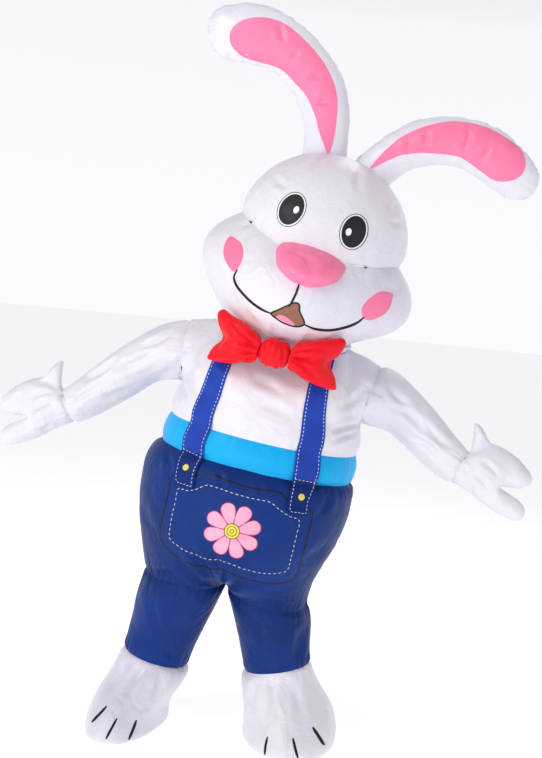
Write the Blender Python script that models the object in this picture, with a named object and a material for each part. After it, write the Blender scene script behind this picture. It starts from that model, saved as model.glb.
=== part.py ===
import math

import bmesh
import bpy
from mathutils import Matrix, Vector
from mathutils.bvhtree import BVHTree

# Cloth and seams, metres
WALL = 0.0020
GLOVE_WALL = 0.0012
SEAM_GAP = 0.0003
OVERLAY_LIFT = 0.0008
OVERLAY_WALL = 0.0014
WELD = 5

# Stance: the torso leans to the wearer's left, the head leans further
TORSO_LEAN_DEG = 8.0
HEAD_EXTRA_LEAN_DEG = 6.5
HEAD_PIVOT_HEIGHT = 0.06
FLOOR_Z = -1.290

# Column angles of the body ring from centre front (0) to side (90), degrees
BODY_ANGLES = (0.0, 8.0, 16.0, 24.5, 33.0, 41.0, 49.0, 57.0, 64.0, 71.0, 78.0, 84.0, 90.0)
NECK_ANGLES = (0.0, 12.0, 24.0, 35.0, 46.0, 57.0, 66.0, 74.0, 82.0, 90.0)
QUARTER = len(BODY_ANGLES) - 1
NECK_QUARTER = len(NECK_ANGLES) - 1
SECTION_POWER = 0.94

# Hip rows: side height, side half width, front height, front depth,
# back height, back depth, leg blend, side shift
HIP_ROWS = (
    (-0.382, 0.316, -0.382, 0.290, -0.382, 0.264, 0.00, 0.000),
    (-0.402, 0.334, -0.402, 0.311, -0.402, 0.283, 0.00, -0.006),
    (-0.436, 0.343, -0.436, 0.325, -0.436, 0.297, 0.00, -0.012),
    (-0.474, 0.345, -0.474, 0.331, -0.474, 0.304, 0.00, -0.013),
    (-0.526, 0.341, -0.526, 0.333, -0.526, 0.308, 0.00, -0.014),
    (-0.588, 0.331, -0.588, 0.328, -0.588, 0.305, 0.00, -0.015),
    (-0.650, 0.312, -0.648, 0.315, -0.648, 0.295, 0.05, -0.018),
    (-0.710, 0.291, -0.700, 0.298, -0.702, 0.280, 0.19, -0.020),
    (-0.762, 0.277, -0.746, 0.282, -0.748, 0.266, 0.48, -0.014),
    (-0.806, 0.274, -0.800, 0.260, -0.800, 0.250, 1.00, -0.008),
)

# Waistband and lower shirt rows: height, half width, front depth, back depth
BAND_ROWS = (
    (-0.336, 0.322, 0.297, 0.270),
    (-0.288, 0.308, 0.284, 0.258),
)
SHIRT_ROWS = (
    (-0.262, 0.313, 0.290, 0.264),
    (-0.226, 0.309, 0.290, 0.264),
    (-0.190, 0.298, 0.286, 0.260),
)

# Leg opening loop in the torso frame
LEG_LOOP_CENTRE_X = 0.137
LEG_LOOP_HALF_WIDTH = 0.137
LEG_LOOP_FRONT_DEPTH = 0.178
LEG_LOOP_BACK_DEPTH = 0.172
CROTCH_HEIGHT = -0.800
LEG_LOOP_FRONT_DROP = 0.014
LEG_LOOP_SIDE_DROP = 0.006
CROTCH_GAP = 0.0022

# Shoulder and armhole in the torso frame
ARMHOLE_STEPS = 7
ARMPIT_X = 0.298
ARMPIT_HEIGHT = -0.190
SHOULDER_TIP_X = 0.322
SHOULDER_TIP_HEIGHT = 0.012
ARMHOLE_HALF_DEPTH = 0.100
ARMHOLE_ROUNDNESS = 0.45
NECK_HALF_WIDTH = 0.204
NECK_FRONT_DEPTH = 0.186
NECK_BACK_DEPTH = 0.182
NECK_SIDE_HEIGHT = 0.046
NECK_FRONT_HEIGHT = -0.036
NECK_BACK_HEIGHT = 0.020
CHEST_SWELL = 0.026

# Head rows: side height, front height, back height, half width, front depth, back depth, muzzle swell
HEAD_ROWS = (
    (0.018, -0.072, -0.010, 0.222, 0.214, 0.202, 0.002),
    (0.050, -0.040, 0.034, 0.264, 0.256, 0.236, 0.012),
    (0.098, 0.010, 0.088, 0.319, 0.292, 0.262, 0.030),
    (0.152, 0.066, 0.146, 0.348, 0.308, 0.277, 0.044),
    (0.206, 0.126, 0.202, 0.346, 0.311, 0.282, 0.050),
    (0.259, 0.186, 0.256, 0.315, 0.300, 0.277, 0.034),
    (0.304, 0.238, 0.300, 0.266, 0.280, 0.264, 0.008),
)
CROWN_ROWS = (
    (0.334, 0.284, 0.332, 0.272, 0.288, 0.272, 0.000),
    (0.374, 0.338, 0.374, 0.269, 0.285, 0.270, 0.000),
    (0.420, 0.394, 0.420, 0.253, 0.270, 0.256, 0.000),
    (0.464, 0.448, 0.464, 0.228, 0.243, 0.231, 0.000),
    (0.505, 0.496, 0.505, 0.192, 0.204, 0.195, 0.000),
    (0.541, 0.537, 0.541, 0.142, 0.150, 0.144, 0.000),
    (0.567, 0.566, 0.567, 0.076, 0.080, 0.077, 0.000),
)
CROWN_TOP = 0.579
MUZZLE_SWELL_ANGLE = 30.0

# Legs, world frame: hem centre, hem radius, outward tilt
LEG_STEPS = 5
LEG_SWELL = 0.013
HEM_RIGHT = (-0.330, 0.000, -1.066)
HEM_LEFT = (0.077, 0.000, -1.050)
HEM_RADIUS = 0.110
LEG_TILT_DEG = 12.5

# Foot rows: share of the drop, front reach, back reach, half width, turn share
FOOT_ROWS = (
    (0.12, 0.128, 0.116, 0.117, 0.25),
    (0.34, 0.166, 0.128, 0.128, 0.65),
    (0.58, 0.226, 0.138, 0.139, 1.00),
    (0.80, 0.278, 0.143, 0.146, 1.00),
    (0.95, 0.296, 0.143, 0.147, 1.00),
    (1.000, 0.286, 0.134, 0.140, 1.00),
)
FOOT_RIDGE = 0.004
# Foot placing: centre x, centre y, turn in degrees, reach share, width share at the sole
FOOT_RIGHT = (-0.394, 0.004, -6.0, 0.99, 0.80)
FOOT_LEFT = (0.132, 0.046, 5.0, 0.90, 1.06)
FOOT_RIDGE_BAND = (0.2, 0.9)
SOLE_INSET = 0.0022
SOLE_WALL = 0.0020

# Sleeves, world frame
WRIST_RIGHT = (-0.686, -0.050, -0.264)
WRIST_LEFT = (0.601, -0.050, -0.324)
# Sleeve rows: share of the arm's length, radius
SLEEVE_ROWS = (
    (0.15, 0.0955),
    (0.34, 0.0830),
    (0.54, 0.0765),
    (0.73, 0.0710),
    (0.89, 0.0645),
    (1.00, 0.0570),
)
GLOVE_DROP_DEG = 22.0
GLOVE_FORWARD_DEG = 4.0

# Glove rows: distance from wrist, lower edge, upper edge, half depth
GLOVE_ROWS = (
    (0.008, -0.055, 0.064, 0.058),
    (0.032, -0.057, 0.094, 0.057),
    (0.062, -0.060, 0.116, 0.055),
    (0.098, -0.066, 0.118, 0.053),
    (0.130, -0.073, 0.115, 0.049),
)
GLOVE_COLUMNS = 14
FORK = 3
NOTCH_ALONG = 0.137
NOTCH_ACROSS = 0.006
UPPER_FINGER_ROWS = (
    (0.156, 0.012, 0.110, 0.043),
    (0.184, 0.022, 0.099, 0.037),
    (0.206, 0.036, 0.086, 0.026),
)
UPPER_FINGER_TIP = (0.222, 0.063)
LOWER_FINGER_ROWS = (
    (0.166, -0.074, -0.001, 0.038),
    (0.204, -0.073, -0.003, 0.034),
    (0.234, -0.066, -0.014, 0.024),
)
LOWER_FINGER_TIP = (0.250, -0.041)
# Thumb rows: distance from wrist, height, half length, half depth
THUMB_ROWS = (
    (0.012, 0.120, 0.030, 0.028),
    (-0.003, 0.136, 0.025, 0.021),
)
THUMB_TILT = 0.20
THUMB_FIRST_ROW = 1
THUMB_LAST_ROW = 3
THUMB_COLUMNS = 8
THUMB_TIP = (-0.014, 0.151)

# Ear rows, world frame: centre x, centre z, half width, half depth, across angle, inset share
EAR_RIGHT_ROWS = (
    (0.068, 0.630, 0.072, 0.049, 0.0, 0.06),
    (0.069, 0.676, 0.073, 0.050, 8.0, 0.34),
    (0.066, 0.728, 0.077, 0.054, 18.0, 0.56),
    (0.053, 0.785, 0.081, 0.056, 30.0, 0.66),
    (0.026, 0.842, 0.085, 0.057, 41.0, 0.70),
    (-0.016, 0.896, 0.085, 0.057, 52.0, 0.72),
    (-0.070, 0.943, 0.087, 0.057, 65.0, 0.73),
    (-0.132, 0.974, 0.092, 0.057, 77.0, 0.74),
    (-0.196, 0.989, 0.096, 0.055, 87.0, 0.73),
    (-0.254, 0.989, 0.092, 0.049, 96.0, 0.66),
    (-0.306, 0.978, 0.078, 0.038, 106.0, 0.50),
)
EAR_RIGHT_TIP = (-0.344, 0.962)
EAR_LEFT_ROWS = (
    (0.233, 0.585, 0.067, 0.049, 140.0, 0.06),
    (0.268, 0.620, 0.066, 0.050, 132.0, 0.36),
    (0.306, 0.651, 0.067, 0.053, 122.0, 0.60),
    (0.352, 0.677, 0.071, 0.055, 113.0, 0.70),
    (0.405, 0.694, 0.076, 0.056, 104.0, 0.74),
    (0.462, 0.700, 0.078, 0.056, 94.0, 0.75),
    (0.520, 0.694, 0.080, 0.055, 84.0, 0.75),
    (0.575, 0.677, 0.083, 0.054, 74.0, 0.74),
    (0.626, 0.648, 0.082, 0.051, 65.0, 0.70),
    (0.670, 0.613, 0.075, 0.043, 56.0, 0.62),
    (0.708, 0.576, 0.062, 0.032, 46.0, 0.46),
)
EAR_LEFT_TIP = (0.734, 0.545)
EAR_COLUMNS = 16
EAR_INSET_EDGE = 2
EAR_HOLE_GAP = 0.0012
EAR_TUCK = 0.0028
EAR_SEEK = 0.10
HOLE_REACH = 0.06

# Nose pad in the head frame
NOSE_CENTRE_X = 0.018
NOSE_HALF_WIDTH = 0.102
NOSE_TOP = 0.268
NOSE_BOTTOM = 0.150
NOSE_TAPER = 0.28
NOSE_SWELL = 0.056
NOSE_RINGS = 3
NOSE_COLUMNS = 18
NOSE_SINK = 0.012
NOSE_EDGE = 0.0025
NOSE_SEEK = 0.6
FACE_CUT_WALL = 0.050
FACE_CUT_REACH = 0.19
FACE_CUT_LIFT = 0.0006

# Bow in the torso frame, lobe rows: distance from the middle, upper edge, lower edge, half depth
BOW_CENTRE = (0.006, -0.3112, -0.008)
BOW_KNOT_HALF = (0.050, 0.042, 0.047)
BOW_KNOT_DROP = 0.002
BOW_KNOT_RINGS = 7
BOW_KNOT_COLUMNS = 16
BOW_LOBE_ROWS = (
    (0.0496, 0.034, -0.038, 0.024),
    (0.076, 0.053, -0.053, 0.038),
    (0.106, 0.066, -0.062, 0.046),
    (0.142, 0.073, -0.067, 0.044),
    (0.170, 0.080, -0.067, 0.030),
    (0.190, 0.074, -0.058, 0.012),
)
BOW_COLUMNS = 14
BOW_CURVE = 1.05

# Straps follow these body columns from the neckline to a hip row
STRAP_COLUMNS = (3, 4, 5)
STRAP_WALL = 0.0016
STRAP_LIFT = 0.0006
STRAP_FRONT_END_ROW = 3
STRAP_BACK_END_ROW = 2
STRAP_BAND_LIFTS = (0.0040, 0.0055)
STRAP_HIP_LIFTS = (0.0120, 0.0050, 0.0030, 0.0030)
STRAP_TAB_LIFT_LEFT = 0.0150
STRAP_LEANED_LIFTS = (0.0130, 0.0090, 0.0075, 0.0075)
# How far the right strap's lower end leans to the middle, in body columns
STRAP_TAB_LEAN = (0.22, 0.45, 0.70, 0.90)
STRAP_TAB_PINCH = (0.06, 0.14, 0.26, 0.34)
STRAP_TOP_TRIM = 0.24
BUTTON_PLACE = 0.60
BUTTON_RADIUS = 0.0105
BUTTON_HEIGHT = 0.0040
BUTTON_SEGMENTS = 16
BUTTON_LIFT = 0.0008
BUTTON_EDGE = 0.0014

# Centre-back zip
ZIP_HALF_SLIT = 0.0060
ZIP_UNDERLAP = 0.0110
ZIP_TAPE_WALL = 0.0012
ZIP_TAPE_GAP = 0.0010
ZIP_MIDDLE_GAP = 0.0006
ZIP_TOP_HEIGHT = -0.100
ZIP_BOTTOM_HEIGHT = -0.640
SLIDER_ROW_FROM_TOP = 4
SLIDER_HALF_WIDTH = 0.0044
SLIDER_HEIGHT = 0.0130
SLIDER_DEPTH = 0.0034
SLIDER_LIFT = 0.0012
BRIDGE_HALF_WIDTH = 0.0011
BRIDGE_RISE = 0.0036
BRIDGE_BAR = 0.0012
BRIDGE_LENGTH = 0.0100
PULL_HALF_WIDTH = 0.0040
PULL_LENGTH = 0.0300
PULL_WALL = 0.0014
PULL_SLOT_HALF_WIDTH = 0.0019
PULL_SLOT_LENGTH = 0.0075
PULL_BAR = 0.0014
JOIN_OVERLAP = 0.001
CUT_OVERRUN = 0.01

# Fan at the lower back, wearer's left of the zip
FAN_SIDE_X = 0.130
FAN_HEIGHT = -0.535
FAN_HOLE_RADIUS = 0.0455
FAN_BODY_RADIUS = 0.0440
FAN_BORE_RADIUS = 0.0410
FAN_FLANGE_RADIUS = 0.0570
FAN_FLANGE_WALL = 0.0040
FAN_FLANGE_LIFT = 0.0008
FAN_DEPTH = 0.0320
FAN_GUARD_WALL = 0.0020
FAN_SLOTS = ((0.0120, 0.0235), (0.0265, 0.0385))
FAN_SLOT_SECTORS = 6
FAN_SLOT_SPAN_DEG = 50.0
FAN_SEGMENTS = 24
FAN_SEEK = 0.8

WHITE = (0.86, 0.85, 0.88, 1.0)
NAVY = (0.035, 0.075, 0.26, 1.0)
BLUE = (0.08, 0.15, 0.42, 1.0)
CYAN = (0.0, 0.38, 0.72, 1.0)
PINK = (0.92, 0.30, 0.46, 1.0)
RED = (0.80, 0.02, 0.04, 1.0)
YELLOW = (0.80, 0.78, 0.08, 1.0)
GREY = (0.35, 0.36, 0.38, 1.0)
DARK = (0.05, 0.05, 0.06, 1.0)


def clear_scene():
    for item in list(bpy.data.objects):
        bpy.data.objects.remove(item, do_unlink=True)


def make_material(name, colour, roughness, metallic=0.0):
    material = bpy.data.materials.new(name)
    material.use_nodes = True
    shader = material.node_tree.nodes["Principled BSDF"]
    shader.inputs["Base Color"].default_value = colour
    shader.inputs["Roughness"].default_value = roughness
    shader.inputs["Metallic"].default_value = metallic
    return material


def add_object(name, points, faces, material):
    mesh = bpy.data.meshes.new(name)
    mesh.from_pydata([tuple(p) for p in points], [], [tuple(f) for f in faces])
    mesh.update()
    solid = bpy.data.objects.new(name, mesh)
    bpy.context.scene.collection.objects.link(solid)
    mesh.materials.append(material)
    return solid


def mix(first, second, share):
    return first * (1.0 - share) + second * share


def smooth_step(value, low, high):
    share = min(1.0, max(0.0, (value - low) / (high - low)))
    return share * share * (3.0 - 2.0 * share)


def lean(point, degrees, pivot_height):
    angle = math.radians(degrees)
    height = point.z - pivot_height
    x = point.x * math.cos(angle) + height * math.sin(angle)
    z = -point.x * math.sin(angle) + height * math.cos(angle)
    return Vector((x, point.y, z + pivot_height))


def torso_pose(point):
    return lean(point, TORSO_LEAN_DEG, 0.0)


def torso_across():
    return torso_pose(Vector((1.0, 0.0, 0.0)))


def head_pose(point, share=1.0):
    raised = Vector((point.x, point.y, point.z + HEAD_PIVOT_HEIGHT))
    return torso_pose(lean(raised, HEAD_EXTRA_LEAN_DEG * share, HEAD_PIVOT_HEIGHT))


def section_point(angle_deg, half_width, front, back):
    angle = math.radians(angle_deg)
    across = math.sin(angle)
    along = math.cos(angle)
    x = -half_width * math.copysign(abs(across) ** SECTION_POWER, across)
    depth = front if along > 0.0 else back
    y = -depth * math.copysign(abs(along) ** SECTION_POWER, along)
    if abs(across) < 1e-9:
        x = 0.0
    if abs(along) < 1e-9:
        y = 0.0
    return x, y


class Skin:
    """One welded outer surface whose faces belong to named cloth pieces."""

    def __init__(self):
        self.points = []
        self.lookup = {}
        self.faces = []
        self.normals = []

    def add(self, point):
        key = (round(point.x, WELD), round(point.y, WELD), round(point.z, WELD))
        if key not in self.lookup:
            self.lookup[key] = len(self.points)
            self.points.append(point.copy())
        return self.lookup[key]

    def face(self, corners, piece):
        ids = []
        for corner in corners:
            index = self.add(corner)
            if index not in ids:
                ids.append(index)
        if len(ids) == 4:
            self.faces.append(((ids[0], ids[1], ids[2]), piece))
            self.faces.append(((ids[0], ids[2], ids[3]), piece))
        elif len(ids) == 3:
            self.faces.append((tuple(ids), piece))

    def grid(self, rows, piece_of):
        for r in range(len(rows) - 1):
            for c in range(len(rows[r]) - 1):
                piece = piece_of(r, c)
                if piece:
                    corners = (rows[r][c], rows[r][c + 1], rows[r + 1][c + 1], rows[r + 1][c])
                    self.face(corners, piece)

    def finish(self):
        self.normals = [Vector((0.0, 0.0, 0.0)) for _ in self.points]
        for ids, _ in self.faces:
            a, b, c = (self.points[i] for i in ids)
            area = (b - a).cross(c - a)
            for i in ids:
                self.normals[i] += area
        self.normals = [n.normalized() for n in self.normals]

    def solid(self, name, material, wall=WALL, lift=0.0, faces=None, gap=SEAM_GAP, **shaping):
        # shaping: lifts for each point, pinch towards a neighbour, own normals instead of the shared ones
        lifts = shaping.get("lifts")
        pinch = shaping.get("pinch")
        own = shaping.get("own", False)
        chosen = faces if faces is not None else [ids for ids, piece in self.faces if piece == name]
        used = sorted({i for ids in chosen for i in ids})
        edge_count = {}
        for ids in chosen:
            for k in range(3):
                pair = (ids[k], ids[(k + 1) % 3])
                edge_count[pair] = edge_count.get(pair, 0) + 1
        rim = [pair for pair in edge_count if (pair[1], pair[0]) not in edge_count]
        pull = {i: Vector((0.0, 0.0, 0.0)) for pair in rim for i in pair}
        for ids in chosen:
            middle = (self.points[ids[0]] + self.points[ids[1]] + self.points[ids[2]]) / 3.0
            for i in ids:
                if i in pull:
                    pull[i] += middle - self.points[i]
        normals = self.normals
        if own:
            normals = {i: Vector((0.0, 0.0, 0.0)) for i in used}
            for ids in chosen:
                a, b, c = (self.points[i] for i in ids)
                for i in ids:
                    normals[i] += (b - a).cross(c - a)
            normals = {i: n.normalized() for i, n in normals.items()}
        outer = []
        inner = []
        place = {}
        for i in used:
            rise = lifts[i] if lifts else lift
            start = self.points[i]
            if pinch and i in pinch:
                first, second, share = pinch[i]
                start = mix(self.points[first], self.points[second], share)
            point = start + normals[i] * rise
            if i in pull:
                side = pull[i] - normals[i] * pull[i].dot(normals[i])
                point = point + side.normalized() * (gap * 0.5)
            place[i] = len(outer)
            outer.append(point)
            inner.append(point - normals[i] * wall)
        shift = len(outer)
        faces_out = [tuple(place[i] for i in ids) for ids in chosen]
        faces_in = [tuple(place[i] + shift for i in reversed(ids)) for ids in chosen]
        faces_rim = []
        for a, b in rim:
            far_a = place[a] + shift
            far_b = place[b] + shift
            if a < b:
                faces_rim.append((place[b], place[a], far_b))
                faces_rim.append((place[a], far_a, far_b))
            else:
                faces_rim.append((place[b], place[a], far_a))
                faces_rim.append((place[b], far_a, far_b))
        return add_object(name, outer + inner, faces_out + faces_in + faces_rim, material)

    def tree(self):
        return BVHTree.FromPolygons([tuple(p) for p in self.points], [ids for ids, _ in self.faces])


def ring_angles():
    angles = list(BODY_ANGLES)
    angles += [180.0 - a for a in reversed(BODY_ANGLES[:-1])]
    angles += [180.0 + a for a in BODY_ANGLES[1:]]
    angles += [360.0 - a for a in reversed(BODY_ANGLES[:-1])]
    return angles


def quarter_of(column):
    # returns the index inside the quarter and whether the column is on the back
    position = column % (4 * QUARTER)
    half = 2 * QUARTER
    if position > half:
        position = 4 * QUARTER - position
    back = position > QUARTER
    return (half - position if back else position), back


def leg_loop_point(index, back, side):
    angle = math.pi * index / QUARTER
    depth = LEG_LOOP_BACK_DEPTH if back else LEG_LOOP_FRONT_DEPTH
    x = -LEG_LOOP_CENTRE_X + LEG_LOOP_HALF_WIDTH * math.cos(angle)
    y = depth * math.sin(angle) * (1.0 if back else -1.0)
    drop = LEG_LOOP_FRONT_DROP * math.sin(angle) + LEG_LOOP_SIDE_DROP * (1.0 - math.cos(angle)) * 0.5
    if index == 0:
        x = 0.0
        y = 0.0
    if index == QUARTER:
        y = 0.0
    return Vector((x * side, y, CROTCH_HEIGHT - drop))


def hip_rows():
    rows = []
    for side_s, width, front_s, front, back_s, back, blend, shift in HIP_ROWS:
        row = []
        for column, angle in enumerate(ring_angles()):
            index, is_back = quarter_of(column)
            side = 1.0 if column <= 2 * QUARTER else -1.0
            x, y = section_point(angle, width, front, back)
            share = math.cos(math.radians(angle)) ** 2
            height = mix(side_s, back_s if is_back else front_s, share)
            loop = leg_loop_point(index, is_back, side)
            row.append(mix(Vector((x + shift, y, height)), loop, blend))
        rows.append([torso_pose(p) for p in row])
    return rows


def plain_rows(table):
    rows = []
    for height, width, front, back in table:
        row = []
        for angle in ring_angles():
            x, y = section_point(angle, width, front, back)
            row.append(torso_pose(Vector((x, y, height))))
        rows.append(row)
    return rows


def neck_point(angle_deg):
    angle = math.radians(angle_deg)
    depth = NECK_FRONT_DEPTH if math.cos(angle) > 0.0 else NECK_BACK_DEPTH
    low = NECK_FRONT_HEIGHT if math.cos(angle) > 0.0 else NECK_BACK_HEIGHT
    x = -NECK_HALF_WIDTH * math.sin(angle)
    y = -depth * math.cos(angle)
    height = mix(NECK_SIDE_HEIGHT, low, math.cos(angle) ** 2)
    if abs(math.cos(angle)) < 1e-9:
        y = 0.0
    if abs(math.sin(angle)) < 1e-9:
        x = 0.0
    return Vector((x, y, height))


def armhole_point(step, back):
    share = step / ARMHOLE_STEPS
    rise = mix(share, (1.0 - math.cos(math.pi * share)) * 0.5, ARMHOLE_ROUNDNESS)
    x = -mix(ARMPIT_X, SHOULDER_TIP_X, rise)
    y = ARMHOLE_HALF_DEPTH * math.sin(math.pi * share) * (1.0 if back else -1.0)
    if step in (0, ARMHOLE_STEPS):
        y = 0.0
    return Vector((x, y, mix(ARMPIT_HEIGHT, SHOULDER_TIP_HEIGHT, rise)))


def yoke_top(index, back):
    if index <= NECK_QUARTER:
        angle = NECK_ANGLES[index]
        return neck_point(180.0 - angle if back else angle)
    share = (index - NECK_QUARTER) / (QUARTER - NECK_QUARTER)
    return mix(neck_point(90.0), armhole_point(ARMHOLE_STEPS, back), share)


def yoke_point(index, step, back):
    # the upper shirt is filled between the armpit ring, the neckline, the centre line and the armhole
    height, width, front, depth_back = SHIRT_ROWS[-1]
    share = step / ARMHOLE_STEPS
    across = math.sin(math.radians(BODY_ANGLES[index])) ** 1.5
    angle = 180.0 - BODY_ANGLES[index] if back else BODY_ANGLES[index]
    x, y = section_point(angle, width, front, depth_back)
    bottom = Vector((x, y, height))
    top = yoke_top(index, back)
    low = Vector((0.0, depth_back if back else -front, height))
    high = yoke_top(0, back)
    centre = mix(low, high, share)
    centre.y += CHEST_SWELL * math.sin(math.pi * share) * (1.0 if back else -1.0)
    edge = armhole_point(step, back)
    corner_a = mix(low, high, share)
    corner_b = mix(armhole_point(0, back), armhole_point(ARMHOLE_STEPS, back), share)
    point = mix(bottom, top, share) + mix(centre, edge, across) - mix(corner_a, corner_b, across)
    if index == QUARTER:
        return edge
    if step == 0:
        return bottom
    if step == ARMHOLE_STEPS:
        return top
    return point


def yoke_rows(side, back):
    rows = []
    for step in range(ARMHOLE_STEPS + 1):
        row = []
        for index in range(QUARTER + 1):
            point = yoke_point(index, step, back)
            row.append(torso_pose(Vector((point.x * side, point.y, point.z))))
        rows.append(row)
    return rows


def head_angles(row):
    share = smooth_step(row, 0.0, 3.0)
    quarter = []
    for index, neck_angle in enumerate(NECK_ANGLES):
        quarter.append(mix(neck_angle, 90.0 * index / NECK_QUARTER, share))
    angles = list(quarter)
    angles += [180.0 - a for a in reversed(quarter[:-1])]
    angles += [180.0 + a for a in quarter[1:]]
    angles += [360.0 - a for a in reversed(quarter[:-1])]
    return angles


def head_surface_row(row, record):
    side_s, front_s, back_s, width, front, back, swell = record
    share = min(1.0, (row + 0.4) / 2.6)
    points = []
    for angle in head_angles(row):
        x, y = section_point(angle, width, front, back)
        facing = math.cos(math.radians(angle))
        height = mix(side_s, front_s if facing > 0.0 else back_s, facing * facing)
        turn = min(angle, 360.0 - angle)
        y -= swell * math.exp(-((turn / MUZZLE_SWELL_ANGLE) ** 2))
        points.append(head_pose(Vector((x, y, height)), share))
    return points


def half_front(column, columns):
    return column < columns // 4 or column >= columns - columns // 4


def flip(rows):
    return [list(reversed(row)) for row in rows]


def ring_frame(direction, up_hint):
    along = direction.normalized()
    across = (up_hint - along * up_hint.dot(along)).normalized()
    return along, across


def build_body(skin):
    columns = 4 * QUARTER
    hips = hip_rows()
    band = plain_rows(BAND_ROWS)
    shirt = plain_rows(SHIRT_ROWS)
    rows = hips[::-1] + band + shirt
    hip_count = len(hips) - 1
    band_count = len(band)
    middle = 2 * QUARTER
    zip_rows = []
    slit = torso_across() * ZIP_HALF_SLIT
    right_rows = [list(r) for r in rows]
    left_rows = [list(r) for r in rows]
    for r, row in enumerate(rows):
        point = row[middle]
        if ZIP_BOTTOM_HEIGHT < point.z / math.cos(math.radians(TORSO_LEAN_DEG)):
            right_rows[r][middle] = point - slit
            left_rows[r][middle] = point + slit
            zip_rows.append(r)

    def name_of(r, c):
        front = half_front(c, columns)
        right = c < middle
        kind = "hips" if r < hip_count else ("band" if r < hip_count + band_count else "shirt")
        if front:
            return kind + "_front"
        return kind + "_back_" + ("right" if right else "left")

    skin.grid(flip([r[: middle + 1] for r in right_rows]), lambda r, c: name_of(r, middle - 1 - c))
    skin.grid(flip([r[middle:] for r in left_rows]), lambda r, c: name_of(r, columns - 1 - c))

    # upper shirt, four quarters
    yokes = {}
    for side, back in ((1.0, False), (1.0, True), (-1.0, False), (-1.0, True)):
        quarter = yoke_rows(side, back)
        if back:
            for r in range(len(quarter)):
                if quarter[r][0].z < ZIP_TOP_HEIGHT:
                    quarter[r][0] = quarter[r][0] - slit * side
        yokes[(side, back)] = quarter
        name = "shirt_front"
        if back:
            name = "shirt_back_right" if side > 0.0 else "shirt_back_left"
        turned = quarter if (side < 0.0) != back else flip(quarter)
        skin.grid(turned, lambda r, c, piece=name: piece)
    return hips, band, shirt, yokes, right_rows, left_rows, zip_rows


def build_head(skin):
    neck = [torso_pose(neck_point(a)) for a in head_angles(0)]
    rows = [neck]
    table = list(HEAD_ROWS) + list(CROWN_ROWS)
    for row, record in enumerate(table):
        rows.append(head_surface_row(row, record))
    top = head_pose(Vector((0.0, 0.0, CROWN_TOP)))
    rows.append([top for _ in rows[0]])
    seam = len(HEAD_ROWS)
    columns = 4 * NECK_QUARTER

    def name_of(r, c):
        front = half_front(columns - 1 - c, columns)
        if r < seam:
            return "muzzle" if front else "nape"
        return "crown_front" if front else "crown_back"

    skin.grid(flip(rows), name_of)
    return rows


def leg_ring(side, centre):
    # the hem ring runs from the inner side over the front to the outer side and the back
    tilt = math.radians(LEG_TILT_DEG)
    points = []
    for index in range(2 * QUARTER + 1):
        angle = math.pi * index / QUARTER
        inner = math.cos(angle) * HEM_RADIUS
        front = math.sin(angle) * HEM_RADIUS
        x = centre[0] + inner * math.cos(tilt) * side
        z = centre[2] - inner * math.sin(tilt)
        y = centre[1] - front
        points.append(Vector((x, y, z)))
    points[-1] = points[0].copy()
    return points


def leg_top(side):
    points = [leg_loop_point(i, False, side) for i in range(QUARTER + 1)]
    points += [leg_loop_point(i, True, side) for i in reversed(range(QUARTER))]
    for end in (0, -1):
        points[end] = points[end] + Vector((-side * CROTCH_GAP, 0.0, -CROTCH_GAP))
    return [torso_pose(p) for p in points]


def build_leg(skin, side, centre, name):
    top = leg_top(side)
    hem = leg_ring(side, centre)
    top_centre = sum(top[:-1], Vector()) / (len(top) - 1)
    hem_centre = Vector(centre)
    rows = []
    for step in range(LEG_STEPS + 1):
        share = step / LEG_STEPS
        easing = smooth_step(share, -0.15, 0.85)
        row = []
        for number, (a, b) in enumerate(zip(top, hem)):
            spread = mix(a - top_centre, b - hem_centre, easing if 0 < step < LEG_STEPS else share)
            outer_side = 0.5 - 0.5 * math.cos(math.pi * number / QUARTER)
            bulge = math.sin(math.pi * share) * (1.0 - 0.5 * share) * outer_side
            swell = 1.0 + LEG_SWELL / HEM_RADIUS * bulge
            row.append(mix(top_centre, hem_centre, share) + spread * swell)
        rows.append(row)
    rows[0] = top
    rows[-1] = hem
    skin.grid(rows if side > 0.0 else flip(rows), lambda r, c: name)
    return rows


def build_foot(skin, side, hem, placing, name):
    centre_x, centre_y, turn_deg, reach_share, width_share = placing
    mean = sum(hem[:-1], Vector()) / (len(hem) - 1)
    half = QUARTER // 2
    rows = [hem]
    for drop, front, back, width, turn_share in FOOT_ROWS:
        turn = math.radians(turn_deg * turn_share)
        move = smooth_step(drop, 0.0, 0.8)
        middle = mix(Vector((mean.x, mean.y, 0.0)), Vector((centre_x, centre_y, 0.0)), move)
        row = []
        for index in range(2 * QUARTER + 1):
            angle = math.pi * index / QUARTER
            inner = math.cos(angle)
            ahead = math.sin(angle)
            u = math.copysign(abs(inner) ** 0.86, inner) * width * mix(1.0, width_share, move)
            v = math.copysign(abs(ahead) ** 0.92, ahead) * (front if ahead > 0.0 else back) * reach_share
            u *= side
            x = middle.x + u * math.cos(turn) + v * math.sin(turn)
            y = middle.y + u * math.sin(turn) - v * math.cos(turn)
            start = hem[index].z
            z = mix(start, FLOOR_Z, drop)
            if index == half and FOOT_RIDGE_BAND[0] < drop < FOOT_RIDGE_BAND[1]:
                y -= FOOT_RIDGE
                z += FOOT_RIDGE
            row.append(Vector((x, y, z)))
        row[-1] = row[0].copy()
        rows.append(row)

    def name_of(r, c):
        column = c if side > 0.0 else 2 * QUARTER - 1 - c
        outer = half <= column < half + QUARTER
        return name + ("_outer" if outer else "_inner")

    skin.grid(rows if side > 0.0 else flip(rows), name_of)
    return rows[-1]


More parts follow.
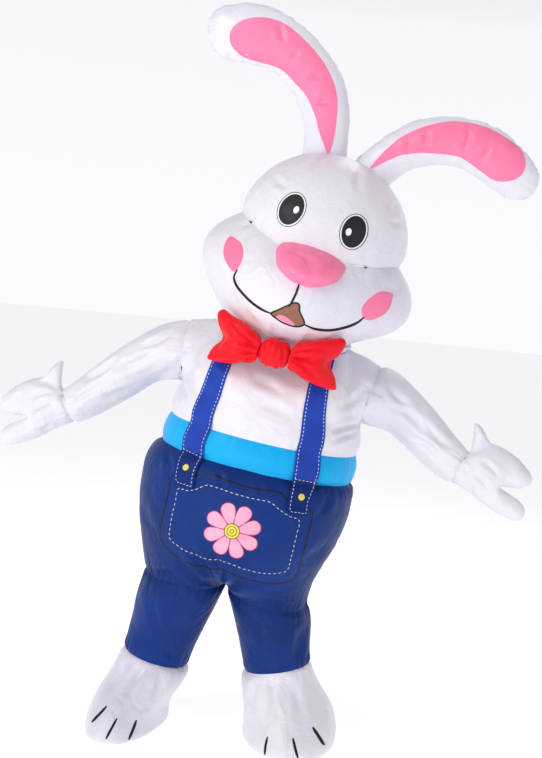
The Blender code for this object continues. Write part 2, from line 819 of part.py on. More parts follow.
def add_sole(name, ring, material):
    points = ring[:-1]
    centre = sum(points, Vector()) / len(points)
    edge = []
    for k, point in enumerate(points):
        along = points[(k + 1) % len(points)] - points[k - 1]
        inward = Vector((along.y, -along.x, 0.0)).normalized()
        if inward.dot(centre - point) < 0.0:
            inward = -inward
        edge.append(point + inward * SOLE_INSET)
    count = len(edge)
    low = [Vector((p.x, p.y, FLOOR_Z)) for p in edge] + [Vector((centre.x, centre.y, FLOOR_Z))]
    high = [p + Vector((0.0, 0.0, SOLE_WALL)) for p in low]
    faces = []
    for k in range(count):
        n = (k + 1) % count
        faces.append((n, k, count))
        faces.append((k + count + 1, n + count + 1, 2 * count + 1))
        faces.append((k, n, n + count + 1))
        faces.append((k, n + count + 1, k + count + 1))
    solid = add_object(name, low + high, faces, material)
    fix_outward(solid)
    return solid


def fix_outward(solid):
    work = bmesh.new()
    work.from_mesh(solid.data)
    bmesh.ops.recalc_face_normals(work, faces=work.faces)
    work.to_mesh(solid.data)
    work.free()


def build_sleeve(skin, side, wrist, name):
    loop = [armhole_point(s, False) for s in range(ARMHOLE_STEPS + 1)]
    loop += [armhole_point(s, True) for s in reversed(range(ARMHOLE_STEPS))]
    loop = [torso_pose(Vector((p.x * side, p.y, p.z))) for p in loop]
    start = sum(loop[:-1], Vector()) / (len(loop) - 1)
    end = Vector(wrist)
    out = Vector((-side, 0.0, 0.0))
    drop = math.radians(GLOVE_DROP_DEG)
    forward = math.radians(GLOVE_FORWARD_DEG)
    glove_axis = Vector((-side * math.cos(drop) * math.cos(forward), -math.sin(forward), -math.sin(drop)))
    length = (end - start).length
    rows = [loop]
    count = len(loop) - 1
    for share, radius in SLEEVE_ROWS:
        # the arm axis is a cubic curve leaving the shoulder sideways and arriving along the hand
        a = start
        b = start + out * (length * 0.33)
        c = end - glove_axis * (length * 0.33)
        t = share
        point = a * (1 - t) ** 3 + b * 3 * t * (1 - t) ** 2 + c * 3 * t * t * (1 - t) + end * t ** 3
        slope = (b - a) * 3 * (1 - t) ** 2 + (c - b) * 6 * t * (1 - t) + (end - c) * 3 * t * t
        along, up = ring_frame(slope, Vector((0.0, 0.0, 1.0)))
        front = Vector((0.0, -1.0, 0.0))
        front = (front - along * front.dot(along)).normalized()
        blend = smooth_step(share, 0.0, 0.5)
        row = []
        for k in range(count + 1):
            angle = 2.0 * math.pi * k / count
            circle = (front * math.sin(angle) - up * math.cos(angle)) * radius
            scaled = (loop[k] - start) * (radius / 0.1)
            row.append(point + mix(scaled, circle, blend))
        row[-1] = row[0].copy()
        rows.append(row)
    skin.grid(flip(rows) if side < 0.0 else rows, lambda r, c: name)
    return rows[-1], glove_axis


def build_glove(skin, side, wrist, wrist_ring, axis, name):
    origin = Vector(wrist)
    along, up = ring_frame(axis, Vector((0.0, 0.0, 1.0)))
    front = Vector((0.0, -1.0, 0.0))
    front = (front - along * front.dot(along)).normalized()

    def place(u, v, w):
        return origin + along * u + up * v + front * w

    def full_ring(u, low, high, depth):
        points = []
        for k in range(GLOVE_COLUMNS):
            angle = 2.0 * math.pi * k / GLOVE_COLUMNS
            middle = (low + high) * 0.5
            half = (high - low) * 0.5
            points.append(place(u, middle - half * math.cos(angle), depth * math.sin(angle)))
        return points

    rings = [list(wrist_ring[:-1])]
    for record in GLOVE_ROWS:
        rings.append(full_ring(*record))
    half = GLOVE_COLUMNS // 2

    def sheet(column):
        return name + ("_palm" if column < half else "_back")

    def cell(a, b, c, d, piece):
        corners = (a, b, c, d) if side > 0.0 else (d, c, b, a)
        skin.face(corners, piece)

    for r in range(len(rings) - 1):
        for c in range(GLOVE_COLUMNS):
            n = (c + 1) % GLOVE_COLUMNS
            if THUMB_FIRST_ROW <= r < THUMB_LAST_ROW and c in (half - 1, half):
                continue
            cell(rings[r][c], rings[r][n], rings[r + 1][n], rings[r + 1][c], sheet(c))

    last = rings[-1]
    web = place(NOTCH_ALONG, NOTCH_ACROSS, 0.0)
    upper = [last[k] for k in range(FORK, GLOVE_COLUMNS - FORK + 1)] + [web]
    upper_side = [sheet(k) for k in range(FORK, GLOVE_COLUMNS - FORK)] + [name + "_back", name + "_palm"]
    lower = [last[k] for k in range(GLOVE_COLUMNS - FORK, GLOVE_COLUMNS)]
    lower += [last[k] for k in range(FORK + 1)] + [web]
    lower_side = [sheet(k) for k in range(GLOVE_COLUMNS - FORK, GLOVE_COLUMNS)]
    lower_side += [sheet(k) for k in range(FORK)] + [name + "_palm", name + "_back"]

    def finger(base, sides, records, tip, web_at_top):
        # angles run from the lower edge over the palm side to the upper edge and the back
        count = len(base)
        web_index = count - 1
        seam = last[half] if last[half] in base else last[0]
        seam_index = base.index(seam)
        previous = base
        for u, low, high, depth in records:
            middle = (low + high) * 0.5
            spread = (high - low) * 0.5
            ring = []
            for k in range(count):
                steps_before = (k - seam_index) % count
                total_before = (web_index - seam_index) % count
                if steps_before <= total_before:
                    part = steps_before / total_before
                    angle = math.pi * part
                else:
                    part = (steps_before - total_before) / (count - total_before)
                    angle = math.pi * (1.0 + part)
                # the angle starts on the seam edge and reaches the web edge half way round
                across = -spread * math.cos(angle) if web_at_top else spread * math.cos(angle)
                deep = depth * math.sin(angle) * (1.0 if web_at_top else -1.0)
                ring.append(place(u, middle + across, deep))
            for k in range(count):
                n = (k + 1) % count
                cell(previous[k], previous[n], ring[n], ring[k], sides[k])
            previous = ring
        end = place(tip[0], tip[1], 0.0)
        for k in range(count):
            n = (k + 1) % count
            cell(previous[k], previous[n], end, end, sides[k])

    finger(upper, upper_side, UPPER_FINGER_ROWS, UPPER_FINGER_TIP, False)
    finger(lower, lower_side, LOWER_FINGER_ROWS, LOWER_FINGER_TIP, True)

    base = [rings[1][half], rings[1][half + 1], rings[2][half + 1], rings[3][half + 1]]
    base += [rings[3][half], rings[3][half - 1], rings[2][half - 1], rings[1][half - 1]]
    sides = [name + "_back"] * 4 + [name + "_palm"] * 4
    previous = base
    for u, v, half_along, half_depth in THUMB_ROWS:
        ring = []
        for k in range(THUMB_COLUMNS):
            angle = 2.0 * math.pi * k / THUMB_COLUMNS
            reach = half_along * math.cos(angle)
            ring.append(place(u - reach, v + THUMB_TILT * reach, -half_depth * math.sin(angle)))
        for k in range(THUMB_COLUMNS):
            n = (k + 1) % THUMB_COLUMNS
            cell(previous[k], previous[n], ring[n], ring[k], sides[k])
        previous = ring
    end = place(THUMB_TIP[0], THUMB_TIP[1], 0.0)
    for k in range(THUMB_COLUMNS):
        n = (k + 1) % THUMB_COLUMNS
        cell(previous[k], previous[n], end, end, sides[k])


def ear_share(step, half, inset):
    # place of a front column across the ear, with the inset's own columns between its edges
    if step > half - step:
        return 1.0 - ear_share(half - step, half, inset)
    edge = 0.5 - 0.5 * inset
    if step <= EAR_INSET_EDGE:
        return edge * step / EAR_INSET_EDGE
    return mix(edge, 0.5, (step - EAR_INSET_EDGE) / (half * 0.5 - EAR_INSET_EDGE))


def ear_rows(table, tip, crown_tree):
    rows = []
    half = EAR_COLUMNS // 2
    for number, (x, z, width, depth, angle_deg, inset) in enumerate(table):
        angle = math.radians(angle_deg)
        across = Vector((math.cos(angle), 0.0, math.sin(angle)))
        row = []
        for k in range(EAR_COLUMNS):
            on_front = k <= half
            step = k if on_front else EAR_COLUMNS - k
            share = step / half
            if on_front:
                share = ear_share(step, half, inset)
            turn = math.pi * share
            side = -math.cos(turn)
            deep = depth * math.sin(turn)
            forward = -deep if on_front else deep
            row.append(Vector((x, forward, z)) + across * (width * side))
        rows.append(row)
    first, second = rows[0], rows[1]
    down = (sum(first, Vector()) - sum(second, Vector())).normalized()
    landed = []
    for point in first:
        hit = crown_tree.ray_cast(point - down * EAR_SEEK, down)
        landed.append(hit[0] + down * EAR_TUCK)
    rows[0] = landed
    rows.append([Vector((tip[0], 0.0, tip[1]))] * EAR_COLUMNS)
    return rows, down


def build_ear(name, table, tip, crown_tree, white, pink):
    ear = Skin()
    rows, down = ear_rows(table, tip, crown_tree)
    half = EAR_COLUMNS // 2
    closed = [row + [row[0]] for row in rows]
    clockwise = table[0][4] > 90.0

    def name_of(r, c):
        column = EAR_COLUMNS - 1 - c if clockwise else c
        return name + ("_front" if column < half else "_back")

    ear.grid(flip(closed) if clockwise else closed, name_of)
    ear.finish()
    ear.solid(name + "_front", white)
    ear.solid(name + "_back", white)
    chosen = []
    keep = set()
    for r in range(1, len(rows) - 1):
        for c in range(EAR_INSET_EDGE, half - EAR_INSET_EDGE + 1):
            keep.add(ear.add(rows[r][c]))
    for ids, piece in ear.faces:
        if all(i in keep for i in ids):
            chosen.append(ids)
    ear.solid(name + "_inset", pink, wall=OVERLAY_WALL, lift=OVERLAY_LIFT + OVERLAY_WALL, faces=chosen)
    return rows, down


def combine(target, other, operation):
    modifier = target.modifiers.new("combine", "BOOLEAN")
    modifier.operation = operation
    modifier.solver = "EXACT"
    modifier.object = other
    graph = bpy.context.evaluated_depsgraph_get()
    result = bpy.data.meshes.new_from_object(target.evaluated_get(graph))
    target.modifiers.clear()
    old = target.data
    target.data = result
    bpy.data.meshes.remove(old)
    bpy.data.objects.remove(other, do_unlink=True)


def cut_hole(target, ring, direction, gap):
    centre = sum(ring, Vector()) / len(ring)
    reach = direction * HOLE_REACH
    wide = [p + (p - centre).normalized() * gap for p in ring]
    low = [p + reach for p in wide]
    high = [p - reach for p in wide]
    count = len(ring)
    faces = [tuple(range(count)), tuple(reversed(range(count, 2 * count)))]
    for k in range(count):
        n = (k + 1) % count
        faces.append((k, k + count, n + count, n))
    cutter = add_object("cutter", low + high, faces, target.data.materials[0])
    fix_outward(cutter)
    combine(target, cutter, "DIFFERENCE")


def cut_by_face(skin, target, material):
    # the back of a pad is trimmed so that it follows the cloth below it
    middle = sum((v.co for v in target.data.vertices), Vector()) / len(target.data.vertices)
    close = [(point - middle).length < FACE_CUT_REACH for point in skin.points]
    near = [ids for ids, _ in skin.faces if all(close[i] for i in ids)]
    cutter = skin.solid("face_cutter", material, wall=FACE_CUT_WALL, lift=FACE_CUT_LIFT, faces=near, gap=0.0)
    combine(target, cutter, "DIFFERENCE")


def build_nose(skin, tree, material):
    # a stuffed pad: its back follows the face, its front swells forward
    forward = Vector((0.0, -1.0, 0.0))
    back_points = []
    front_points = []
    middle_height = (NOSE_TOP + NOSE_BOTTOM) * 0.5
    half_height = (NOSE_TOP - NOSE_BOTTOM) * 0.5
    for ring in range(NOSE_RINGS + 1):
        reach = ring / NOSE_RINGS
        for k in range(NOSE_COLUMNS):
            angle = 2.0 * math.pi * k / NOSE_COLUMNS
            side = math.cos(angle)
            rise = math.sin(angle)
            wide = math.copysign(abs(side) ** 0.8, side) * (1.0 + NOSE_TAPER * rise) * NOSE_HALF_WIDTH
            tall = math.copysign(abs(rise) ** 0.85, rise) * half_height
            spot = head_pose(Vector((NOSE_CENTRE_X + wide * reach, 0.0, middle_height + tall * reach)))
            hit = tree.ray_cast(spot + forward * NOSE_SEEK, -forward)
            back_points.append(hit[0] - forward * NOSE_SINK)
            swell = NOSE_SWELL * math.sqrt(max(0.0, 1.0 - reach ** 2.4)) + NOSE_EDGE
            front_points.append(hit[0] + forward * swell)
            if ring == 0:
                break
    count = len(back_points)

    def node(ring, k):
        return 0 if ring == 0 else 1 + (ring - 1) * NOSE_COLUMNS + k % NOSE_COLUMNS

    faces = []
    for ring in range(NOSE_RINGS):
        for k in range(NOSE_COLUMNS):
            a, b = node(ring, k), node(ring, k + 1)
            c, d = node(ring + 1, k + 1), node(ring + 1, k)
            if ring == 0:
                faces.append((a, c, d))
                faces.append((a + count, d + count, c + count))
            else:
                faces.append((a, b, c, d))
                faces.append((d + count, c + count, b + count, a + count))
    for k in range(NOSE_COLUMNS):
        a, b = node(NOSE_RINGS, k), node(NOSE_RINGS, k + 1)
        faces.append((a, b, b + count, a + count))
    nose = add_object("nose", back_points + front_points, faces, material)
    fix_outward(nose)
    cut_by_face(skin, nose, material)


def bow_place(x, y, z):
    return torso_pose(Vector((BOW_CENTRE[0] + x, BOW_CENTRE[1] + y, BOW_CENTRE[2] + z)))


def build_bow(material):
    for side, name in ((-1.0, "bow_lobe_right"), (1.0, "bow_lobe_left")):
        rows = []
        for x, high, low, depth in BOW_LOBE_ROWS:
            row = []
            middle = (high + low) * 0.5
            half = (high - low) * 0.5
            back_shift = BOW_CURVE * x * x
            for k in range(BOW_COLUMNS):
                angle = 2.0 * math.pi * k / BOW_COLUMNS
                z = middle + half * math.copysign(abs(math.cos(angle)) ** 0.8, math.cos(angle))
                y = depth * math.copysign(abs(math.sin(angle)) ** 0.9, math.sin(angle))
                row.append(bow_place(side * x, y + back_shift, z))
            rows.append(row)
        points = [p for row in rows for p in row]
        start = sum(rows[0], Vector()) / BOW_COLUMNS
        end = sum(rows[-1], Vector()) / BOW_COLUMNS
        points += [start, end]
        faces = []
        for r in range(len(rows) - 1):
            for k in range(BOW_COLUMNS):
                n = (k + 1) % BOW_COLUMNS
                a = r * BOW_COLUMNS
                faces.append((a + k, a + n, a + BOW_COLUMNS + n, a + BOW_COLUMNS + k))
        base = (len(rows) - 1) * BOW_COLUMNS
        for k in range(BOW_COLUMNS):
            n = (k + 1) % BOW_COLUMNS
            faces.append((n, k, len(points) - 2))
            faces.append((base + k, base + n, len(points) - 1))
        fix_outward(add_object(name, points, faces, material))
    # knot, a rounded pad between the lobes
    rings = BOW_KNOT_RINGS
    columns = BOW_KNOT_COLUMNS
    points = []
    for r in range(1, rings):
        turn = math.pi * r / rings
        for k in range(columns):
            angle = 2.0 * math.pi * k / columns
            x = BOW_KNOT_HALF[0] * math.sin(turn) ** 0.7 * math.cos(angle)
            y = BOW_KNOT_HALF[1] * math.sin(turn) ** 0.7 * math.sin(angle)
            z = BOW_KNOT_HALF[2] * math.cos(turn)
            points.append(bow_place(x, y, z - BOW_KNOT_DROP))
    points.append(bow_place(0.0, 0.0, BOW_KNOT_HALF[2] - BOW_KNOT_DROP))
    points.append(bow_place(0.0, 0.0, -BOW_KNOT_HALF[2] - BOW_KNOT_DROP))
    top = len(points) - 2
    faces = []
    for r in range(rings - 2):
        for k in range(columns):
            n = (k + 1) % columns
            a = r * columns
            faces.append((a + k, a + n, a + columns + n, a + columns + k))
    base = (rings - 2) * columns
    for k in range(columns):
        n = (k + 1) % columns
        faces.append((k, top, n))
        faces.append((base + k, base + n, top + 1))
    fix_outward(add_object("bow_knot", points, faces, material))


def strap_column(hips, band, shirt, yokes, side, back, index):
    # points from the neckline down to the hips in one body column, with the lift of each
    middle = 2 * QUARTER
    position = middle - index if back else index
    column = position if side > 0.0 else (4 * QUARTER - position)
    points = [(row[index], STRAP_LIFT) for row in reversed(yokes[(side, back)])]
    points += [(row[column], STRAP_LIFT) for row in reversed(shirt[:-1])]
    points += [(row[column], lift) for row, lift in zip(reversed(band), STRAP_BAND_LIFTS)]
    end = STRAP_BACK_END_ROW if back else STRAP_FRONT_END_ROW
    for number in range(end + 1):
        points.append((hips[number][column], strap_hip_lift(side, back, number)))
    return points


def strap_hip_lift(side, back, number):
    if side > 0.0 and not back:
        return STRAP_LEANED_LIFTS[number]
    if side < 0.0 and number == STRAP_FRONT_END_ROW:
        return STRAP_TAB_LIFT_LEFT
    return STRAP_HIP_LIFTS[number]


def strap_spot(skin, row, side, back, index):
    # the two skin points beside a place between body columns, and the share between them
    position = 2 * QUARTER - index if back else index
    value = position if side > 0.0 else 4 * QUARTER - position
    low = int(math.floor(value))
    return skin.add(row[low]), skin.add(row[low + 1]), value - low


def strap_lean(side, back, number):
    return STRAP_TAB_LEAN[number] if side > 0.0 and not back else 0.0


def build_strap(skin, parts, side, back, name, material):
    hips, band, shirt, yokes = parts
    lifts = {}
    lines = []
    for index in STRAP_COLUMNS:
        line = strap_column(hips, band, shirt, yokes, side, back, index)
        lines.append([skin.add(point) for point, _ in line])
        for point, lift in line:
            lifts[skin.add(point)] = lift + STRAP_WALL
    end = (STRAP_BACK_END_ROW if back else STRAP_FRONT_END_ROW) + 1
    pinch = {line[0]: (line[0], line[1], STRAP_TOP_TRIM) for line in lines}
    for row in range(end):
        place = len(lines[0]) - end + row
        for line, index, way in zip(lines, STRAP_COLUMNS, (1.0, 0.0, -1.0)):
            moved = index + way * STRAP_TAB_PINCH[row] - strap_lean(side, back, row)
            pinch[line[place]] = strap_spot(skin, hips[row], side, back, moved)
    chosen = [ids for ids, _ in skin.faces if all(i in lifts for i in ids)]
    skin.solid(name, material, wall=STRAP_WALL, faces=chosen, lifts=lifts, pinch=pinch, own=True)


def frame_at(point, out, up_hint):
    out = out.normalized()
    up = (up_hint - out * up_hint.dot(out)).normalized()
    across = up.cross(out)
    turned = Matrix((across, up, out)).transposed().to_4x4()
    return Matrix.Translation(point) @ turned


def add_disc(name, frame, low, high, radius, segments, material, bevel=0.0):
    # a short solid cylinder along the frame's outward axis
    points = []
    levels = [(radius, low), (radius, high - bevel), (radius - bevel, high)]
    if not bevel:
        levels = [(radius, low), (radius, high)]
    for reach, level in levels:
        for k in range(segments):
            angle = 2.0 * math.pi * k / segments
            points.append(frame @ Vector((reach * math.cos(angle), reach * math.sin(angle), level)))
    count = len(levels)
    faces = [tuple(reversed(range(segments))), tuple(range((count - 1) * segments, count * segments))]
    for level in range(count - 1):
        for k in range(segments):
            n = (k + 1) % segments
            a = level * segments
            faces.append((a + k, a + n, a + segments + n, a + segments + k))
    solid = add_object(name, points, faces, material)
    fix_outward(solid)
    return solid


def add_block(name, frame, low, high, material):
    points = []
    for z in (low[2], high[2]):
        for x, y in ((low[0], low[1]), (high[0], low[1]), (high[0], high[1]), (low[0], high[1])):
            points.append(frame @ Vector((x, y, z)))
    faces = [(3, 2, 1, 0), (4, 5, 6, 7), (0, 1, 5, 4), (1, 2, 6, 5), (2, 3, 7, 6), (3, 0, 4, 7)]
    solid = add_object(name, points, faces, material)
    fix_outward(solid)
    return solid


def build_buttons(skin, hips, material):
    low_row, high_row = 2, 1
    for side, name in ((1.0, "button_right"), (-1.0, "button_left")):
        spots = []
        for row in (high_row, low_row):
            for index in STRAP_COLUMNS:
                moved = index - strap_lean(side, False, row)
                first, second, share = strap_spot(skin, hips[row], side, False, moved)
                spot = mix(skin.points[first], skin.points[second], share)
                normal = mix(skin.normals[first], skin.normals[second], share).normalized()
                spots.append(spot + normal * (strap_hip_lift(side, False, row) + STRAP_WALL))
        chord = spots[1] - spots[4]
        across = (spots[2] - spots[0]) * side
        normal = chord.cross(across).normalized()
        if normal.y > 0.0:
            normal = -normal
        base = mix(spots[1], spots[4], BUTTON_PLACE) + normal * BUTTON_LIFT
        frame = frame_at(base, normal, Vector((0.0, 0.0, 1.0)))
        add_disc(name, frame, 0.0, BUTTON_HEIGHT, BUTTON_RADIUS, BUTTON_SEGMENTS, material, BUTTON_EDGE)


def zip_line(skin, right_rows, left_rows, zip_rows, yokes):
    # pairs of slit edges from the bottom to the top, each with its neighbour point
    middle = 2 * QUARTER
    pairs = []
    for r in range(zip_rows[0] - 1, len(right_rows) - 1):
        on_right = (right_rows[r][middle], right_rows[r][middle - 1])
        on_left = (left_rows[r][middle], left_rows[r][middle + 1])
        pairs.append(on_right + on_left)
    right = yokes[(1.0, True)]
    left = yokes[(-1.0, True)]
    for r in range(len(right)):
        pairs.append((right[r][0], right[r][1], left[r][0], left[r][1]))
        if right[r][0] == left[r][0]:
            break
    return pairs


def build_zip(skin, pairs, tape_material, metal):
    inward = WALL + ZIP_TAPE_GAP
    across = torso_across()
    frames = []
    for side, name in ((-1.0, "zip_tape_right"), (1.0, "zip_tape_left")):
        outer = []
        inner = []
        for edge_r, near_r, edge_l, near_l in pairs:
            edge, near = (edge_r, near_r) if side < 0.0 else (edge_l, near_l)
            normal = (skin.normals[skin.add(edge_r)] + skin.normals[skin.add(edge_l)]).normalized()
            middle = (edge_r + edge_l) * 0.5
            start = middle + across * (side * ZIP_MIDDLE_GAP * 0.5)
            finish = edge + (near - edge).normalized() * ZIP_UNDERLAP
            row = [start, mix(start, finish, 0.5), finish]
            outer.append([p - normal * inward for p in row])
            inner.append([p - normal * (inward + ZIP_TAPE_WALL) for p in row])
            if side < 0.0:
                frames.append((middle, normal))
        points = [p for row in outer for p in row] + [p for row in inner for p in row]
        rows = len(outer)
        shift = rows * 3
        faces = []
        for r in range(rows - 1):
            for c in range(2):
                a = r * 3 + c
                faces.append((a, a + 1, a + 4, a + 3))
                faces.append((a + shift + 3, a + shift + 4, a + shift + 1, a + shift))
            for a in (r * 3, r * 3 + 2):
                faces.append((a, a + 3, a + 3 + shift, a + shift))
        for a in (0, 1, (rows - 1) * 3, (rows - 1) * 3 + 1):
            faces.append((a, a + 1, a + 1 + shift, a + shift))
        fix_outward(add_object(name, points, faces, tape_material))
    # slider near the top, its bridge and the hanging pull
    middle, normal = frames[-SLIDER_ROW_FROM_TOP]
    below = frames[-SLIDER_ROW_FROM_TOP - 1][0]
    rise = (middle - below).normalized()
    out = across.cross(rise)
    if out.y < 0.0:
        out = -out
    frame = frame_at(middle - normal * inward, out, rise)
    half = SLIDER_HEIGHT * 0.5
    top = SLIDER_LIFT + SLIDER_DEPTH
    slider_low = (-SLIDER_HALF_WIDTH, -half, SLIDER_LIFT)
    slider = add_block("zip_slider", frame, slider_low, (SLIDER_HALF_WIDTH, half, top), metal)
    reach = BRIDGE_LENGTH * 0.5
    bridge_low = (-BRIDGE_HALF_WIDTH, -reach, top - JOIN_OVERLAP)
    bridge = add_block("bridge", frame, bridge_low, (BRIDGE_HALF_WIDTH, reach, top + BRIDGE_RISE), metal)
    combine(slider, bridge, "UNION")
    tunnel_half = reach - BRIDGE_BAR
    tunnel_top = top + BRIDGE_RISE - BRIDGE_BAR
    tunnel_low = (-CUT_OVERRUN, -tunnel_half, top)
    tunnel = add_block("tunnel", frame, tunnel_low, (CUT_OVERRUN, tunnel_half, tunnel_top), metal)
    combine(slider, tunnel, "DIFFERENCE")
    hinge = top + (BRIDGE_RISE - BRIDGE_BAR) * 0.5
    wall = PULL_WALL * 0.5
    bar = PULL_BAR * 0.5
    pull_low = (-PULL_HALF_WIDTH, bar - PULL_LENGTH, hinge - wall)
    pull = add_block("zip_pull", frame, pull_low, (PULL_HALF_WIDTH, bar, hinge + wall), metal)
    slot_low = (-PULL_SLOT_HALF_WIDTH, -bar - PULL_SLOT_LENGTH, hinge - CUT_OVERRUN)
    slot = add_block("slot", frame, slot_low, (PULL_SLOT_HALF_WIDTH, -bar, hinge + CUT_OVERRUN), metal)
    combine(pull, slot, "DIFFERENCE")
    # the pull turns about its own bar, across the zip
    axis_point = frame @ Vector((0.0, 0.0, hinge))
    pull.data.transform(Matrix.Translation(-axis_point))
    pull.location = axis_point


def build_fan(tree, panel, plastic):
    seek = torso_pose(Vector((FAN_SIDE_X, FAN_SEEK, FAN_HEIGHT)))
    hit = tree.ray_cast(seek, Vector((0.0, -1.0, 0.0)))
    frame = frame_at(hit[0], hit[1], Vector((0.0, 0.0, 1.0)))
    ring = []
    for k in range(FAN_SEGMENTS):
        angle = 2.0 * math.pi * k / FAN_SEGMENTS
        spot = Vector((math.cos(angle), math.sin(angle), 0.0)) * FAN_HOLE_RADIUS
        ring.append(frame @ spot)
    cut_hole(panel, ring, hit[1], 0.0)
    low = FAN_FLANGE_LIFT
    high = low + FAN_FLANGE_WALL
    fan = add_disc("fan_housing", frame, low, high, FAN_FLANGE_RADIUS, FAN_SEGMENTS, plastic)
    body_top = low + JOIN_OVERLAP
    body = add_disc("fan_body", frame, -FAN_DEPTH, body_top, FAN_BODY_RADIUS, FAN_SEGMENTS, plastic)
    combine(fan, body, "UNION")
    bore_low = -FAN_DEPTH - CUT_OVERRUN
    bore_high = high - FAN_GUARD_WALL
    bore = add_disc("fan_bore", frame, bore_low, bore_high, FAN_BORE_RADIUS, FAN_SEGMENTS, plastic)
    combine(fan, bore, "DIFFERENCE")
    points = []
    faces = []
    for inner, outer in FAN_SLOTS:
        for sector in range(FAN_SLOT_SECTORS):
            base = len(points)
            start = 360.0 / FAN_SLOT_SECTORS * sector - FAN_SLOT_SPAN_DEG * 0.5
            plan = []
            for radius, order in ((inner, (0, 1, 2)), (outer, (2, 1, 0))):
                for step in order:
                    angle = math.radians(start + FAN_SLOT_SPAN_DEG * step * 0.5)
                    plan.append((radius * math.cos(angle), radius * math.sin(angle)))
            for level in (bore_high - FAN_GUARD_WALL, high + FAN_GUARD_WALL):
                points += [frame @ Vector((x, y, level)) for x, y in plan]
            faces.append(tuple(base + k for k in range(6)))
            faces.append(tuple(base + 11 - k for k in range(6)))
            for k in range(6):
                n = (k + 1) % 6
                faces.append((base + k, base + 6 + k, base + 6 + n, base + n))
    slots = add_object("fan_slots", points, faces, plastic)
    fix_outward(slots)
    combine(fan, slots, "DIFFERENCE")


def main():
    clear_scene()
    white = make_material("white_cloth", WHITE, 0.45)
    navy = make_material("navy_cloth", NAVY, 0.45)
    blue = make_material("strap_cloth", BLUE, 0.50)
    cyan = make_material("band_cloth", CYAN, 0.45)
    pink = make_material("pink_cloth", PINK, 0.50)
    red = make_material("bow_cloth", RED, 0.40)
    yellow = make_material("button_plastic", YELLOW, 0.35)
    tape = make_material("zip_tape_cloth", GREY, 0.70)
    metal = make_material("zip_metal", GREY, 0.35, 0.9)
    plastic = make_material("fan_plastic", DARK, 0.45)

    skin = Skin()
    hips, band, shirt, yokes, right_rows, left_rows, zip_rows = build_body(skin)
    build_head(skin)
    hem_right = build_leg(skin, 1.0, HEM_RIGHT, "leg_right")[-1]
    hem_left = build_leg(skin, -1.0, HEM_LEFT, "leg_left")[-1]
    sole_right = build_foot(skin, 1.0, hem_right, FOOT_RIGHT, "foot_right")
    sole_left = build_foot(skin, -1.0, hem_left, FOOT_LEFT, "foot_left")
    cuff_right, axis_right = build_sleeve(skin, 1.0, WRIST_RIGHT, "sleeve_right")
    cuff_left, axis_left = build_sleeve(skin, -1.0, WRIST_LEFT, "sleeve_left")
    build_glove(skin, 1.0, WRIST_RIGHT, cuff_right, axis_right, "glove_right")
    build_glove(skin, -1.0, WRIST_LEFT, cuff_left, axis_left, "glove_left")
    skin.finish()

    cloth = {}
    for _, piece in skin.faces:
        if piece not in cloth:
            colour = white
            if piece.startswith(("hips", "leg")):
                colour = navy
            if piece.startswith("band"):
                colour = cyan
            wall = GLOVE_WALL if piece.startswith("glove") else WALL
            cloth[piece] = skin.solid(piece, colour, wall=wall)
    add_sole("foot_right_sole", sole_right, white)
    add_sole("foot_left_sole", sole_left, white)

    tree = skin.tree()
    ears = (
        ("ear_right", EAR_RIGHT_ROWS, EAR_RIGHT_TIP),
        ("ear_left", EAR_LEFT_ROWS, EAR_LEFT_TIP),
    )
    for name, table, tip in ears:
        rows, down = build_ear(name, table, tip, tree, white, pink)
        cut_hole(cloth["crown_front"], rows[0], down, EAR_HOLE_GAP)
        cut_hole(cloth["crown_back"], rows[0], down, EAR_HOLE_GAP)
    build_nose(skin, tree, pink)
    build_bow(red)
    parts = (hips, band, shirt, yokes)
    for side, word in ((1.0, "right"), (-1.0, "left")):
        build_strap(skin, parts, side, False, "strap_front_" + word, blue)
        build_strap(skin, parts, side, True, "strap_back_" + word, blue)
    build_buttons(skin, hips, yellow)
    build_zip(skin, zip_line(skin, right_rows, left_rows, zip_rows, yokes), tape, metal)
    build_fan(tree, cloth["hips_back_left"], plastic)


main()
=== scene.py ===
import math

import bmesh
import bpy
import numpy as np
from bpy.props import FloatProperty, FloatVectorProperty, PointerProperty
from mathutils import Matrix, Vector, noise
from mathutils.bvhtree import BVHTree
from mathutils.geometry import delaunay_2d_cdt
from mathutils.kdtree import KDTree


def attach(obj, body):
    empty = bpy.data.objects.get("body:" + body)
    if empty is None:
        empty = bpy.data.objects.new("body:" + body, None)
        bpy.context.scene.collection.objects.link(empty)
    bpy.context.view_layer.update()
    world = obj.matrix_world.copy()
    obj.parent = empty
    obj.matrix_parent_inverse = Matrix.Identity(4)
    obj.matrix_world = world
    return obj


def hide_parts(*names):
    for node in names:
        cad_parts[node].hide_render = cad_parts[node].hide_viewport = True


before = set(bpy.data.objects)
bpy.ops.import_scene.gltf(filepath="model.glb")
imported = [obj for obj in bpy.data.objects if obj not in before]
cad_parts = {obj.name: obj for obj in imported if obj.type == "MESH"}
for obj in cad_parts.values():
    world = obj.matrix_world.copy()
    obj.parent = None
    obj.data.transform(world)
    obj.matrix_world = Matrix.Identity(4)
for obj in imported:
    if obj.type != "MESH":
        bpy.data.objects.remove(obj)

bl_info = {
    "name": "Air-blown rabbit costume",
    "version": (1, 0, 0),
    "blender": (4, 5, 0),
    "location": "3D View > Sidebar > Costume",
    "description": "Dresses the rabbit costume with cloth, prints, trims and a studio",
    "category": "Object",
}

BODY = "costume"

# How the torso leans, and how the head leans further above its pivot
TORSO_LEAN_DEG = 8.0
HEAD_LEAN_DEG = 6.5
HEAD_PIVOT_HEIGHT = 0.06

